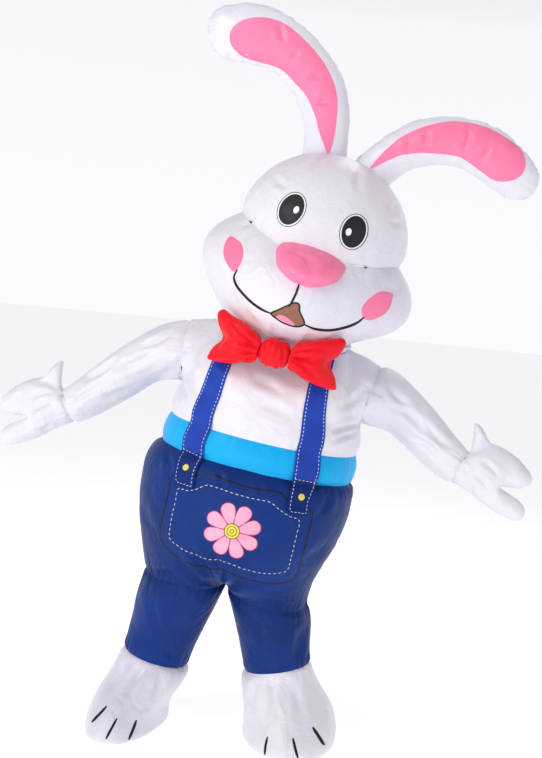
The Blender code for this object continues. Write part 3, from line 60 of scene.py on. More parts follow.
# Cut cloth: node, cloth slot, flat width, flat length, subdivision level, piece group
PANELS = (
    ("crown_front", "white_cloth", 0.84, 0.42, 3, "crown"),
    ("crown_back", "white_cloth", 0.84, 0.38, 2, "crown"),
    ("muzzle", "white_cloth", 1.02, 0.46, 3, "face"),
    ("nape", "white_cloth", 0.95, 0.42, 2, "face"),
    ("ear_right_front", "white_cloth", 0.82, 0.23, 3, "ear"),
    ("ear_right_back", "white_cloth", 0.82, 0.23, 2, "ear"),
    ("ear_left_front", "white_cloth", 0.68, 0.23, 3, "ear"),
    ("ear_left_back", "white_cloth", 0.68, 0.23, 2, "ear"),
    ("shirt_front", "white_cloth", 0.98, 0.36, 3, "shirt"),
    ("shirt_back_right", "white_cloth", 0.49, 0.36, 2, "shirt"),
    ("shirt_back_left", "white_cloth", 0.49, 0.36, 2, "shirt"),
    ("sleeve_right", "white_cloth", 0.62, 0.46, 3, "sleeve"),
    ("sleeve_left", "white_cloth", 0.62, 0.40, 3, "sleeve"),
    ("glove_right_palm", "white_cloth", 0.32, 0.26, 3, "glove"),
    ("glove_right_back", "white_cloth", 0.32, 0.26, 3, "glove"),
    ("glove_left_palm", "white_cloth", 0.32, 0.26, 3, "glove"),
    ("glove_left_back", "white_cloth", 0.32, 0.26, 3, "glove"),
    ("band_front", "band_cloth", 0.98, 0.10, 3, "band"),
    ("band_back_right", "band_cloth", 0.49, 0.10, 2, "band"),
    ("band_back_left", "band_cloth", 0.49, 0.10, 2, "band"),
    ("hips_front", "navy_cloth", 1.10, 0.48, 3, "hips"),
    ("hips_back_right", "navy_cloth", 0.55, 0.48, 2, "hips"),
    ("hips_back_left", "navy_cloth", 0.55, 0.48, 2, "hips"),
    ("leg_right", "navy_cloth", 0.98, 0.31, 3, "leg"),
    ("leg_left", "navy_cloth", 0.98, 0.28, 3, "leg"),
    ("foot_right_outer", "white_cloth", 0.48, 0.34, 2, "foot"),
    ("foot_right_inner", "white_cloth", 0.44, 0.32, 2, "foot"),
    ("foot_left_outer", "white_cloth", 0.50, 0.36, 2, "foot"),
    ("foot_left_inner", "white_cloth", 0.46, 0.34, 2, "foot"),
)

# Seams by the groups they join: groove depth, groove width, pucker depth, pucker spacing, reach
SEAMS = {
    ("crown", "crown"): (0.0008, 0.006, 0.0012, 0.034, 0.030),
    ("crown", "face"): (0.0042, 0.012, 0.0036, 0.030, 0.050),
    ("face", "face"): (0.0010, 0.006, 0.0012, 0.034, 0.030),
    ("face", "shirt"): (0.0060, 0.012, 0.0040, 0.032, 0.050),
    ("shirt", "sleeve"): (0.0050, 0.010, 0.0042, 0.030, 0.055),
    ("shirt", "shirt"): (0.0010, 0.006, 0.0016, 0.032, 0.032),
    ("band", "shirt"): (0.0022, 0.007, 0.0020, 0.026, 0.034),
    ("band", "band"): (0.0008, 0.005, 0.0010, 0.026, 0.020),
    ("band", "hips"): (0.0040, 0.008, 0.0034, 0.023, 0.050),
    ("hips", "hips"): (0.0010, 0.006, 0.0020, 0.034, 0.035),
    ("hips", "leg"): (0.0050, 0.011, 0.0046, 0.034, 0.055),
    ("foot", "leg"): (0.0034, 0.007, 0.0036, 0.026, 0.050),
    ("foot", "foot"): (0.0000, 0.006, 0.0016, 0.030, 0.035),
    ("glove", "sleeve"): (0.0044, 0.009, 0.0044, 0.017, 0.050),
    ("glove", "glove"): (0.0012, 0.005, 0.0016, 0.016, 0.020),
    ("ear", "ear"): (0.0012, 0.006, 0.0036, 0.024, 0.042),
}
# How sharply each pair of groups meets while the cloth is rounded
SEAM_CREASES = {
    ("crown", "face"): 0.5,
    ("face", "shirt"): 1.0,
    ("shirt", "sleeve"): 0.3,
    ("band", "hips"): 0.2,
    ("foot", "leg"): 0.6,
    ("hips", "leg"): 0.4,
    ("ear", "ear"): 0.5,
    ("glove", "sleeve"): 0.3,
}

# Creases, listed one by one: frame, start x, start height, end x, end height, side (-1 front, 1 back), depth,
# width
CREASES = (
    ("torso", -0.300, -0.060, -0.236, -0.150, -1, 0.0050, 0.012),
    ("torso", -0.290, -0.110, -0.215, -0.200, -1, 0.0040, 0.013),
    ("torso", 0.290, -0.060, 0.235, -0.140, -1, 0.0050, 0.012),
    ("torso", 0.296, -0.180, 0.222, -0.212, -1, 0.0050, 0.009),
    ("torso", 0.300, -0.205, 0.236, -0.244, -1, 0.0040, 0.009),
    ("torso", -0.298, -0.182, -0.240, -0.226, -1, 0.0042, 0.010),
    ("torso", -0.060, -0.110, 0.060, -0.128, -1, 0.0030, 0.014),
    ("torso", -0.010, -0.180, 0.110, -0.196, -1, 0.0024, 0.016),
    ("torso", -0.010, -0.790, -0.150, -0.712, -1, 0.0070, 0.014),
    ("torso", -0.015, -0.780, -0.120, -0.655, -1, 0.0055, 0.014),
    ("torso", -0.002, -0.770, -0.040, -0.640, -1, 0.0040, 0.013),
    ("torso", 0.010, -0.785, 0.140, -0.716, -1, 0.0065, 0.014),
    ("torso", 0.012, -0.775, 0.096, -0.660, -1, 0.0045, 0.013),
    ("torso", -0.250, -0.800, -0.130, -0.770, -1, 0.0040, 0.012),
    ("torso", 0.250, -0.800, 0.120, -0.772, -1, 0.0040, 0.012),
    ("torso", 0.300, -0.560, 0.235, -0.640, -1, 0.0034, 0.018),
    ("torso", -0.304, -0.580, -0.246, -0.660, -1, 0.0030, 0.018),
    ("torso", -0.260, -0.400, -0.232, -0.470, -1, 0.0034, 0.010),
    ("torso", -0.070, -0.398, -0.062, -0.470, -1, 0.0026, 0.010),
    ("torso", 0.060, -0.398, 0.056, -0.456, -1, 0.0026, 0.010),
    ("torso", 0.262, -0.400, 0.250, -0.470, -1, 0.0034, 0.010),
    ("torso", -0.010, -0.790, -0.140, -0.700, 1, 0.0065, 0.015),
    ("torso", 0.010, -0.790, 0.140, -0.704, 1, 0.0065, 0.015),
    ("torso", -0.012, -0.775, -0.100, -0.640, 1, 0.0045, 0.015),
    ("torso", 0.012, -0.775, 0.106, -0.650, 1, 0.0045, 0.015),
    ("torso", -0.240, -0.420, -0.130, -0.470, 1, 0.0030, 0.016),
    ("torso", 0.270, -0.420, 0.200, -0.490, 1, 0.0030, 0.016),
    ("torso", -0.300, -0.060, -0.230, -0.140, 1, 0.0045, 0.013),
    ("torso", 0.300, -0.060, 0.230, -0.140, 1, 0.0045, 0.013),
    ("torso", -0.150, -0.040, -0.060, -0.100, 1, 0.0030, 0.016),
    ("torso", 0.150, -0.040, 0.060, -0.104, 1, 0.0030, 0.016),
    ("head", -0.190, 0.440, -0.130, 0.412, -1, 0.0034, 0.010),
    ("head", 0.235, 0.440, 0.196, 0.420, -1, 0.0030, 0.010),
    ("head", 0.050, 0.540, 0.080, 0.470, -1, 0.0030, 0.011),
    ("head", -0.060, 0.560, -0.090, 0.490, -1, 0.0030, 0.011),
    ("head", 0.170, 0.520, 0.176, 0.455, -1, 0.0030, 0.010),
    ("head", 0.300, 0.230, 0.250, 0.226, -1, 0.0030, 0.010),
    ("head", -0.120, 0.030, -0.060, -0.010, -1, 0.0045, 0.012),
    ("head", -0.020, 0.020, -0.014, -0.040, -1, 0.0040, 0.011),
    ("head", 0.100, 0.024, 0.086, -0.030, -1, 0.0040, 0.011),
    ("head", 0.190, 0.060, 0.156, 0.004, -1, 0.0045, 0.012),
    ("head", -0.200, 0.070, -0.150, 0.020, -1, 0.0045, 0.012),
    ("head", -0.300, 0.150, -0.240, 0.180, 1, 0.0030, 0.015),
    ("head", 0.300, 0.160, 0.230, 0.190, 1, 0.0030, 0.015),
    ("head", -0.120, 0.060, -0.060, 0.130, 1, 0.0036, 0.015),
    ("head", 0.110, 0.060, 0.070, 0.140, 1, 0.0036, 0.015),
    ("world", -0.360, 0.012, -0.455, -0.050, -1, 0.0048, 0.011),
    ("world", -0.400, -0.050, -0.540, -0.128, -1, 0.0050, 0.012),
    ("world", -0.340, -0.110, -0.440, -0.170, -1, 0.0040, 0.012),
    ("world", -0.520, -0.086, -0.640, -0.176, -1, 0.0040, 0.010),
    ("world", -0.570, -0.190, -0.660, -0.256, -1, 0.0038, 0.009),
    ("world", -0.450, -0.180, -0.560, -0.222, -1, 0.0036, 0.010),
    ("world", -0.380, 0.000, -0.500, -0.066, 1, 0.0045, 0.012),
    ("world", -0.460, -0.110, -0.600, -0.196, 1, 0.0045, 0.012),
    ("world", 0.345, -0.080, 0.430, -0.150, -1, 0.0048, 0.011),
    ("world", 0.360, -0.150, 0.490, -0.236, -1, 0.0050, 0.012),
    ("world", 0.430, -0.240, 0.540, -0.306, -1, 0.0040, 0.010),
    ("world", 0.470, -0.180, 0.570, -0.262, -1, 0.0038, 0.010),
    ("world", 0.350, -0.090, 0.470, -0.190, 1, 0.0045, 0.012),
    ("world", 0.420, -0.230, 0.540, -0.310, 1, 0.0045, 0.012),
    ("world", -0.720, -0.262, -0.790, -0.300, -1, 0.0040, 0.008),
    ("world", -0.730, -0.220, -0.800, -0.250, -1, 0.0040, 0.008),
    ("world", -0.726, -0.330, -0.780, -0.352, -1, 0.0032, 0.007),
    ("world", -0.740, -0.250, -0.800, -0.300, 1, 0.0040, 0.008),
    ("world", 0.640, -0.330, 0.700, -0.380, -1, 0.0040, 0.008),
    ("world", 0.636, -0.390, 0.700, -0.440, -1, 0.0036, 0.008),
    ("world", 0.660, -0.290, 0.720, -0.330, -1, 0.0036, 0.008),
    ("world", 0.650, -0.340, 0.710, -0.400, 1, 0.0040, 0.008),
    ("world", -0.240, 0.912, -0.190, 0.894, -1, 0.0040, 0.008),
    ("world", -0.110, 1.020, -0.090, 0.960, -1, 0.0036, 0.010),
    ("world", -0.004, 0.850, 0.040, 0.880, -1, 0.0046, 0.010),
    ("world", 0.030, 0.770, 0.070, 0.786, -1, 0.0046, 0.010),
    ("world", -0.070, 0.900, -0.040, 0.940, -1, 0.0034, 0.010),
    ("world", 0.386, 0.668, 0.392, 0.724, -1, 0.0046, 0.010),
    ("world", 0.330, 0.640, 0.340, 0.690, -1, 0.0036, 0.010),
    ("world", 0.500, 0.664, 0.520, 0.740, -1, 0.0046, 0.010),
    ("world", 0.560, 0.640, 0.590, 0.700, -1, 0.0040, 0.010),
    ("world", 0.010, 0.800, 0.060, 0.840, 1, 0.0046, 0.011),
    ("world", -0.140, 0.940, -0.130, 1.010, 1, 0.0040, 0.011),
    ("world", 0.400, 0.650, 0.410, 0.730, 1, 0.0046, 0.011),
    ("world", -0.480, -0.900, -0.440, -1.010, -1, 0.0040, 0.016),
    ("world", -0.330, -0.850, -0.300, -0.960, -1, 0.0036, 0.014),
    ("world", -0.280, -1.000, -0.250, -1.050, -1, 0.0034, 0.010),
    ("world", 0.020, -0.860, 0.030, -0.960, -1, 0.0040, 0.014),
    ("world", 0.160, -0.880, 0.150, -1.000, -1, 0.0040, 0.015),
    ("world", -0.440, -0.880, -0.400, -1.000, 1, 0.0040, 0.016),
    ("world", 0.060, -0.880, 0.070, -1.000, 1, 0.0040, 0.016),
    ("world", 0.080, -1.070, 0.100, -1.190, -1, 0.0050, 0.011),
    ("world", 0.020, -1.080, 0.030, -1.180, -1, 0.0040, 0.011),
    ("world", 0.150, -1.080, 0.180, -1.170, -1, 0.0036, 0.011),
    ("world", -0.350, -1.085, -0.380, -1.170, -1, 0.0046, 0.011),
    ("world", -0.280, -1.090, -0.290, -1.170, -1, 0.0040, 0.011),
    ("world", -0.420, -1.080, -0.450, -1.160, -1, 0.0036, 0.011),
)

# How much deeper than drawn the creases of each frame are
CREASE_GAIN = {"head": 1.0, "torso": 1.35, "world": 1.5}

# Printed outlines in the head frame: x, height. The eyes and glints are ovals: middle, half sizes, tilt
EYE_RIGHT = (-0.091, 0.354, 0.037, 0.049, 6.0)
EYE_LEFT = (0.109, 0.354, 0.035, 0.049, -4.0)
EYE_RIGHT_GLINT = (-0.076, 0.357, 0.0085, 0.0115, 6.0)
EYE_LEFT_GLINT = (0.095, 0.348, 0.0085, 0.0115, -4.0)
CHEEK_RIGHT = (
    (-0.255, 0.197), (-0.248, 0.215), (-0.224, 0.213), (-0.198, 0.202), (-0.181, 0.176),
    (-0.178, 0.147), (-0.187, 0.119), (-0.215, 0.128), (-0.241, 0.150), (-0.253, 0.175),
)
CHEEK_LEFT = (
    (0.287, 0.197), (0.282, 0.217), (0.264, 0.219), (0.244, 0.212), (0.230, 0.195),
    (0.218, 0.172), (0.212, 0.147), (0.221, 0.126), (0.236, 0.118), (0.255, 0.126),
    (0.272, 0.142), (0.283, 0.158), (0.288, 0.177),
)
MOUTH = (
    (0.007, 0.081), (0.025, 0.096), (0.039, 0.094), (0.046, 0.076), (0.064, 0.057),
    (0.070, 0.045), (0.060, 0.034), (0.042, 0.028), (0.011, 0.027), (-0.016, 0.033),
    (-0.034, 0.041), (-0.015, 0.060),
)
TONGUE = (
    (-0.016, 0.037), (-0.003, 0.047), (0.020, 0.045), (0.041, 0.036), (0.042, 0.030),
    (0.022, 0.029), (-0.002, 0.031),
)
PHILTRUM = ((0.016, 0.156), (0.018, 0.120), (0.012, 0.078))
SMILE_RIGHT = (
    (-0.181, 0.128), (-0.184, 0.104), (-0.170, 0.085), (-0.146, 0.070), (-0.105, 0.052),
    (-0.064, 0.042), (-0.030, 0.041),
)
SMILE_LEFT = (
    (0.068, 0.044), (0.105, 0.042), (0.149, 0.054), (0.191, 0.080), (0.215, 0.103), (0.227, 0.124),
)

# Printed pocket in the torso frame: x, height
POCKET = (
    (-0.219, -0.459), (-0.182, -0.451), (-0.146, -0.434), (-0.107, -0.416), (-0.070, -0.417),
    (-0.033, -0.421), (0.023, -0.424), (0.072, -0.423), (0.116, -0.419), (0.150, -0.437),
    (0.189, -0.453), (0.226, -0.461), (0.231, -0.510), (0.230, -0.566), (0.229, -0.622),
    (0.226, -0.680), (0.210, -0.702), (0.176, -0.713), (0.125, -0.718), (0.069, -0.715),
    (0.008, -0.706), (-0.047, -0.715), (-0.112, -0.713), (-0.168, -0.697), (-0.202, -0.680),
    (-0.220, -0.658), (-0.221, -0.609), (-0.219, -0.556), (-0.218, -0.506),
)
POCKET_STITCH = (
    (-0.187, -0.488), (-0.157, -0.484), (-0.128, -0.470), (-0.099, -0.450), (-0.052, -0.450),
    (-0.003, -0.453), (0.050, -0.454), (0.097, -0.453), (0.128, -0.468), (0.160, -0.483),
    (0.195, -0.493), (0.198, -0.530), (0.198, -0.569), (0.197, -0.617), (0.193, -0.661),
    (0.165, -0.676), (0.135, -0.682), (0.100, -0.683), (0.064, -0.680), (0.004, -0.672),
    (-0.051, -0.678), (-0.117, -0.674), (-0.151, -0.664), (-0.182, -0.650), (-0.187, -0.609),
    (-0.188, -0.566), (-0.187, -0.527),
)
FLOWER_CENTRE = (0.008, -0.566)
FLOWER_REACH = 0.088
FLOWER_START_DEG = 68.0
FLOWER_PETALS = 8
# Petal outline: share of the reach from the middle, half width as a share of the reach
PETAL_ROWS = ((0.16, 0.07), (0.34, 0.15), (0.54, 0.21), (0.74, 0.25), (0.88, 0.22), (0.97, 0.12))
DAISY_RADIUS = 0.0235
DAISY_RINGS = (("outer", DAISY_RADIUS), ("middle", 0.0150), ("inner", 0.0062))

# Ear insets in the world frame: x, height
INSET_RIGHT = (
    (0.084, 0.623), (0.066, 0.655), (0.048, 0.692), (0.030, 0.742), (0.003, 0.790),
    (-0.018, 0.815), (-0.044, 0.838), (-0.070, 0.862), (-0.102, 0.882), (-0.148, 0.894),
    (-0.191, 0.902), (-0.222, 0.912), (-0.247, 0.928), (-0.262, 0.947), (-0.266, 0.968),
    (-0.258, 0.994), (-0.234, 1.016), (-0.206, 1.028), (-0.172, 1.033), (-0.133, 1.031),
    (-0.088, 1.016), (-0.032, 0.978), (0.021, 0.930), (0.053, 0.892), (0.076, 0.853),
    (0.091, 0.816), (0.098, 0.779), (0.100, 0.734), (0.099, 0.697), (0.095, 0.656),
)
INSET_LEFT = (
    (0.221, 0.587), (0.243, 0.623), (0.277, 0.664), (0.314, 0.697), (0.359, 0.724),
    (0.407, 0.744), (0.459, 0.757), (0.509, 0.758), (0.561, 0.750), (0.608, 0.734),
    (0.655, 0.710), (0.682, 0.691), (0.698, 0.667), (0.703, 0.642), (0.699, 0.619),
    (0.686, 0.601), (0.667, 0.590), (0.639, 0.584), (0.610, 0.587), (0.569, 0.610),
    (0.524, 0.636), (0.498, 0.648), (0.470, 0.652), (0.422, 0.653), (0.373, 0.650),
    (0.336, 0.643), (0.307, 0.635), (0.275, 0.618), (0.254, 0.606),
)

# Toe lines in the world frame: foot side, x and height of the start, middle and end
TOE_LINES = (
    ("right", (-0.434, -1.192), (-0.451, -1.214), (-0.472, -1.240)),
    ("right", (-0.391, -1.216), (-0.400, -1.241), (-0.411, -1.271)),
    ("right", (-0.336, -1.226), (-0.340, -1.250), (-0.347, -1.279)),
    ("left", (0.085, -1.231), (0.083, -1.256), (0.084, -1.283)),
    ("left", (0.166, -1.221), (0.177, -1.246), (0.190, -1.276)),
    ("left", (0.222, -1.195), (0.243, -1.221), (0.265, -1.252)),
)

# Lines and prints, metres
LINE_WIDTH = 0.0075
POCKET_LINE_WIDTH = 0.0048
PRINT_LIFT = 0.0006
PRINT_SINK = 0.0003
PRINT_STEP = 0.006
OUTLINE_STEP = 0.005
SEAM_PULL = 0.00015
EYE_RIM = 0.0045
EYE_LINE_REACH = 0.0055
EYE_LINE_WIDTH = 0.0018
MOUTH_LINE_WIDTH = 0.0045
LAYER_LIFTS = (0.0006, 0.0010, 0.0014)
INSET_LIFT = 0.0012
STITCH_WIDTH = 0.0022
STITCH_HEIGHT = 0.0014

# Straps: wall, width, room over the creased shirt, probe start, stitch inset, and the dark tab in front
STRAP_WALL = 0.0013
STRAP_ROOM = 0.0026
STRAP_PROBE = 0.05
STRAP_STITCH_INSET = 0.0075
TAB_LENGTH = 0.105
TAB_LIFT = 0.0014
TAB_HEM = 0.008

# Bow in the torso frame: its middle, then the folds of the knot by x and of the lobes by angle,
# each with its depth and width
BOW_MIDDLE = (0.006, -0.008)
KNOT_FOLDS = (
    (-0.030, 0.0035, 0.006), (-0.012, 0.0045, 0.005), (0.008, 0.0040, 0.006), (0.027, 0.0035, 0.005),
)
LOBE_FOLDS = (
    (-0.62, 0.006, 0.085), (-0.28, 0.010, 0.075), (0.06, 0.012, 0.085), (0.34, 0.008, 0.07),
    (0.66, 0.006, 0.08),
)

# Zip: tape width, height of the first and the last tooth in the torso frame, and half the gap of the two rows
TOOTH_HEIGHTS = (-0.632, -0.108)
TOOTH_ROW_X = 0.0016

# Rounding: angles in degrees under which triangles are joined, and over which an edge is sharp
JOIN_DEG = (40.0, 50.0)
STRAP_JOIN_DEG = (60.0, 60.0)
SHARP_DEG = 52.0

# Marks the scene's own finishes, because the solids bring plain materials of the same names
FINISH_MARK = "finish_"

# Folds in the bump of a finish: noise scale, strength, depth
BODY_FOLDS = (13.0, 0.60, 0.012)
STRAP_FOLDS = (24.0, 0.25, 0.004)
PRINT_FOLDS = (18.0, 0.2, 0.004)
# Fine grain and weave of the coated cloth: grain scale and strength, threads per metre
FABRIC = {"grain": (900.0, 0.05), "weave": 420.0}
PRINTED = {"coat": 0.1, **FABRIC}

# Camera of the photograph: place, axes, lens in millimetres
CAMERA_PLACE = (0.439020, -4.176992, 0.180000)
CAMERA_ACROSS = (0.988329, 0.118585, 0.095616)
CAMERA_UP = (-0.102987, 0.057658, 0.993010)
CAMERA_BACK = (0.112244, -0.991268, 0.069198)
CAMERA_LENS = 61.376
CAMERA_SENSOR = 36.0

# Studio light by height above the horizon: share of the way up, brightness
SKY_ROWS = ((0.0, 1.0), (0.20, 0.97), (0.42, 0.40), (1.0, 0.34))
FLOOR_GLOW = 0.52
FLOOR_Z = -1.2905
FLOOR_REACH = 45.0
FLOOR_CORNERS = 48
# Lamps aimed at a spot just under the shoulders: name, place, size, power, colour
LAMP_AIM = (0.0, 0.0, -0.1)
LAMPS = (
    ("key", (-2.8, -3.4, 2.9), 1.5, 78.0, (1.0, 0.975, 0.95)),
    ("fill", (3.6, -2.6, 0.6), 3.0, 4.0, (0.88, 0.90, 1.0)),
    ("low", (-1.2, -3.6, -0.75), 2.0, 26.0, (1.0, 0.985, 0.97)),
    ("back", (1.2, 3.0, 3.2), 2.4, 40.0, (1.0, 1.0, 1.0)),
    ("top", (0.4, -0.6, 4.2), 2.4, 14.0, (0.98, 0.98, 1.0)),
)


class CostumeSizes(bpy.types.PropertyGroup):
    cloth_wall: FloatProperty(
        name="Cloth wall", description="Thickness of the coated cloth",
        default=0.0014, min=0.001, unit="LENGTH",
    )
    relief: FloatProperty(
        name="Relief", description="Share of the drawn depth of creases and gathers",
        default=1.35, min=0.0, max=2.0,
    )
    stitch_length: FloatProperty(
        name="Stitch length", description="Length of one decorative stitch", default=0.0085, unit="LENGTH"
    )
    stitch_pitch: FloatProperty(
        name="Stitch pitch", description="Distance from one stitch to the next",
        default=0.0135, unit="LENGTH",
    )
    tooth_pitch: FloatProperty(
        name="Tooth pitch", description="Distance from one zip tooth to the next",
        default=0.0028, unit="LENGTH",
    )


class CostumeColours(bpy.types.PropertyGroup):
    white: FloatVectorProperty(
        name="White", description="Body cloth", size=3, default=(0.80, 0.775, 0.815), subtype="COLOR"
    )
    navy: FloatVectorProperty(
        name="Navy", description="Trouser cloth", size=3, default=(0.006, 0.027, 0.150), subtype="COLOR"
    )
    band: FloatVectorProperty(
        name="Waistband", description="Waistband cloth", size=3,
        default=(0.007, 0.410, 0.820), subtype="COLOR",
    )
    strap: FloatVectorProperty(
        name="Straps", description="Shoulder strap cloth", size=3,
        default=(0.014, 0.050, 0.345), subtype="COLOR",
    )
    pink: FloatVectorProperty(
        name="Pink", description="Ear insets, nose and cheeks", size=3,
        default=(0.96, 0.195, 0.370), subtype="COLOR",
    )
    bow: FloatVectorProperty(
        name="Bow", description="Bow tie cloth", size=3, default=(0.93, 0.008, 0.020), subtype="COLOR"
    )


# Frames and paths

def lean(points, degrees, pivot=0.0):
    angle = math.radians(degrees)
    x, y, z = points[..., 0], points[..., 1], points[..., 2] - pivot
    across = x * math.cos(angle) + z * math.sin(angle)
    height = z * math.cos(angle) - x * math.sin(angle) + pivot
    return np.stack((across, y, height), axis=-1)


def to_world(points, place):
    points = np.asarray(points, dtype=float)
    if place == "head":
        points = lean(points + np.array((0.0, 0.0, HEAD_PIVOT_HEIGHT)), HEAD_LEAN_DEG, HEAD_PIVOT_HEIGHT)
    if place in ("head", "torso"):
        points = lean(points, TORSO_LEAN_DEG)
    return points


def from_world(points, place):
    points = np.asarray(points, dtype=float)
    if place in ("head", "torso"):
        points = lean(points, -TORSO_LEAN_DEG)
    if place == "head":
        points = lean(points, -HEAD_LEAN_DEG, HEAD_PIVOT_HEIGHT) - np.array((0.0, 0.0, HEAD_PIVOT_HEIGHT))
    return points


def smooth_path(points, step, closed=False):
    points = np.asarray(points, dtype=float)
    count = len(points)
    spans = count if closed else count - 1
    dense = []
    for index in range(spans):
        if closed:
            a, b, c, d = (points[(index + k) % count] for k in (-1, 0, 1, 2))
        else:
            b, c = points[index], points[index + 1]
            a = points[index - 1] if index else 2.0 * b - c
            d = points[index + 2] if index + 2 < count else 2.0 * c - b
        for t in np.linspace(0.0, 1.0, 12, endpoint=False):
            bend = 2.0 * a - 5.0 * b + 4.0 * c - d
            twist = 3.0 * b - a - 3.0 * c + d
            dense.append(0.5 * (2.0 * b + (c - a) * t + bend * t * t + twist * t ** 3))
    dense.append(points[0] if closed else points[-1])
    dense = np.array(dense)
    lengths = np.concatenate(((0.0,), np.cumsum(np.linalg.norm(np.diff(dense, axis=0), axis=1))))
    total = max(2, int(round(lengths[-1] / step)))
    marks = np.linspace(0.0, lengths[-1], total + 1)
    even = np.stack([np.interp(marks, lengths, dense[:, k]) for k in range(dense.shape[1])], axis=-1)
    return even[:-1] if closed else even


def oval(centre_x, centre_h, half_x, half_h, tilt_deg, grow=0.0, count=40):
    tilt = math.radians(tilt_deg)
    turns = np.linspace(0.0, 2.0 * math.pi, count, endpoint=False)
    u = (half_x + grow) * np.cos(turns)
    v = (half_h + grow) * np.sin(turns)
    return np.stack((centre_x + u * math.cos(tilt) + v * math.sin(tilt),
                     centre_h + v * math.cos(tilt) - u * math.sin(tilt)), axis=-1)


# Meshes

def mesh_object(name, points, faces, material):
    mesh = bpy.data.meshes.new(name)
    mesh.from_pydata([tuple(p) for p in points], [], [tuple(f) for f in faces])
    mesh.materials.append(material)
    mesh.polygons.foreach_set("use_smooth", np.ones(len(mesh.polygons), dtype=bool))
    mesh.set_sharp_from_angle(angle=math.radians(SHARP_DEG))
    mesh.update()
    solid = bpy.data.objects.new(name, mesh)
    bpy.context.scene.collection.objects.link(solid)
    return solid


def shell_object(name, outer, inner, faces, material):
    # a closed thin wall from an outer sheet, its inner twin and the sheet's faces
    count = len(outer)
    faces = [tuple(int(i) for i in f) for f in faces]
    directed = {(f[k], f[(k + 1) % len(f)]) for f in faces for k in range(len(f))}
    walls = [(b, a, a + count, b + count) for a, b in directed if (b, a) not in directed]
    back = [tuple(i + count for i in reversed(f)) for f in faces]
    return mesh_object(name, np.concatenate((outer, inner)), faces + back + sorted(walls), material)


def merged(node):
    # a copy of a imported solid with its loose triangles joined
    solid = bmesh.new()
    solid.from_mesh(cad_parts[node].data)
    bmesh.ops.remove_doubles(solid, verts=solid.verts, dist=1e-5)
    solid.normal_update()
    solid.faces.ensure_lookup_table()
    return solid


def outer_sheet(node, wall_limit=0.004):
    # the outer skin of a thin walled solid, as points and triangles
    solid = merged(node)
    tree = BVHTree.FromBMesh(solid)
    twin = {}
    for face in solid.faces:
        centre = face.calc_center_median()
        place, normal, index, _ = tree.ray_cast(centre - face.normal * 1e-5, -face.normal, wall_limit)
        if place is not None and normal.dot(face.normal) < -0.5:
            twin[face.index] = index
    middle = sum((v.co for v in solid.verts), Vector()) / len(solid.verts)
    group = {}
    groups = []
    for start in twin:
        if start in group:
            continue
        group[start] = len(groups)
        queue = [start]
        flow = 0.0
        area = 0.0
        while queue:
            face = solid.faces[queue.pop()]
            size = face.calc_area()
            area += size
            flow += (face.calc_center_median() - middle).dot(face.normal) * size
            for edge in face.edges:
                for other in edge.link_faces:
                    known = other.index in group or other.index not in twin
                    if not known and other.normal.dot(face.normal) > 0.05:
                        group[other.index] = len(groups)
                        queue.append(other.index)
        groups.append((area, flow))
    largest = sorted(range(len(groups)), key=lambda g: -groups[g][0])[:2]
    chosen = max(largest, key=lambda g: groups[g][1])
    inside = largest[0] if chosen == largest[1] else largest[-1]
    keep = [i for i, g in group.items() if g == chosen or (g != inside and group.get(twin[i]) == inside)]
    used = sorted({v.index for i in keep for v in solid.faces[i].verts})
    order = {old: new for new, old in enumerate(used)}
    solid.verts.ensure_lookup_table()
    points = [solid.verts[i].co.copy() for i in used]
    faces = [[order[v.index] for v in solid.faces[i].verts] for i in keep]
    solid.free()
    return points, faces


def evaluated_mesh(solid):
    graph = bpy.context.evaluated_depsgraph_get()
    mesh = bpy.data.meshes.new_from_object(solid.evaluated_get(graph), depsgraph=graph)
    return mesh


def vertex_table(mesh):
    flat = np.empty(len(mesh.vertices) * 3)
    mesh.vertices.foreach_get("co", flat)
    return flat.reshape(-1, 3)


def quad_table(mesh):
    flat = np.empty(len(mesh.loops), dtype=np.int64)
    mesh.loops.foreach_get("vertex_index", flat)
    return flat.reshape(-1, 4)


def vertex_normals(points, quads):
    a, b, c, d = (points[quads[:, k]] for k in range(4))
    face = np.cross(c - a, d - b)
    normals = np.zeros_like(points)
    for k in range(4):
        np.add.at(normals, quads[:, k], face)
    return normals / np.maximum(np.linalg.norm(normals, axis=1, keepdims=True), 1e-12)


def rounded(solid, level):
    # subdivides a cage so that its own corner points stay where they are
    cage = solid.data
    start = vertex_table(cage)
    modifier = solid.modifiers.new("Rounding", "SUBSURF")
    modifier.levels = modifier.render_levels = level
    for share in (1.0, 0.7):
        bpy.context.view_layer.update()
        fine = evaluated_mesh(solid)
        reached = vertex_table(fine)[: len(start)]
        bpy.data.meshes.remove(fine)
        moved = vertex_table(cage) + (start - reached) * share
        cage.vertices.foreach_set("co", moved.ravel())
        cage.update()
    bpy.context.view_layer.update()
    fine = evaluated_mesh(solid)
    solid.modifiers.remove(modifier)
    return fine


def rounded_tables(name, cage, level, join_deg):
    # joins a cage's triangles, rounds it and gives back its points and quads; the cage is used up
    bmesh.ops.join_triangles(cage, faces=cage.faces, angle_face_threshold=math.radians(join_deg[0]),
                             angle_shape_threshold=math.radians(join_deg[1]))
    mesh = bpy.data.meshes.new(name + "_cage")
    cage.to_mesh(mesh)
    cage.free()
    holder = bpy.data.objects.new(name + "_cage", mesh)
    bpy.context.scene.collection.objects.link(holder)
    fine = rounded(holder, level)
    bpy.data.objects.remove(holder)
    bpy.data.meshes.remove(mesh)
    points = vertex_table(fine)
    quads = quad_table(fine)
    bpy.data.meshes.remove(fine)
    return points, quads


def plain_copy(node, material):
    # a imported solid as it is, with its loose triangles joined
    solid = merged(node)
    points = [tuple(v.co) for v in solid.verts]
    faces = [tuple(v.index for v in face.verts) for face in solid.faces]
    solid.free()
    return mesh_object("cloth_" + node, points, faces, material)


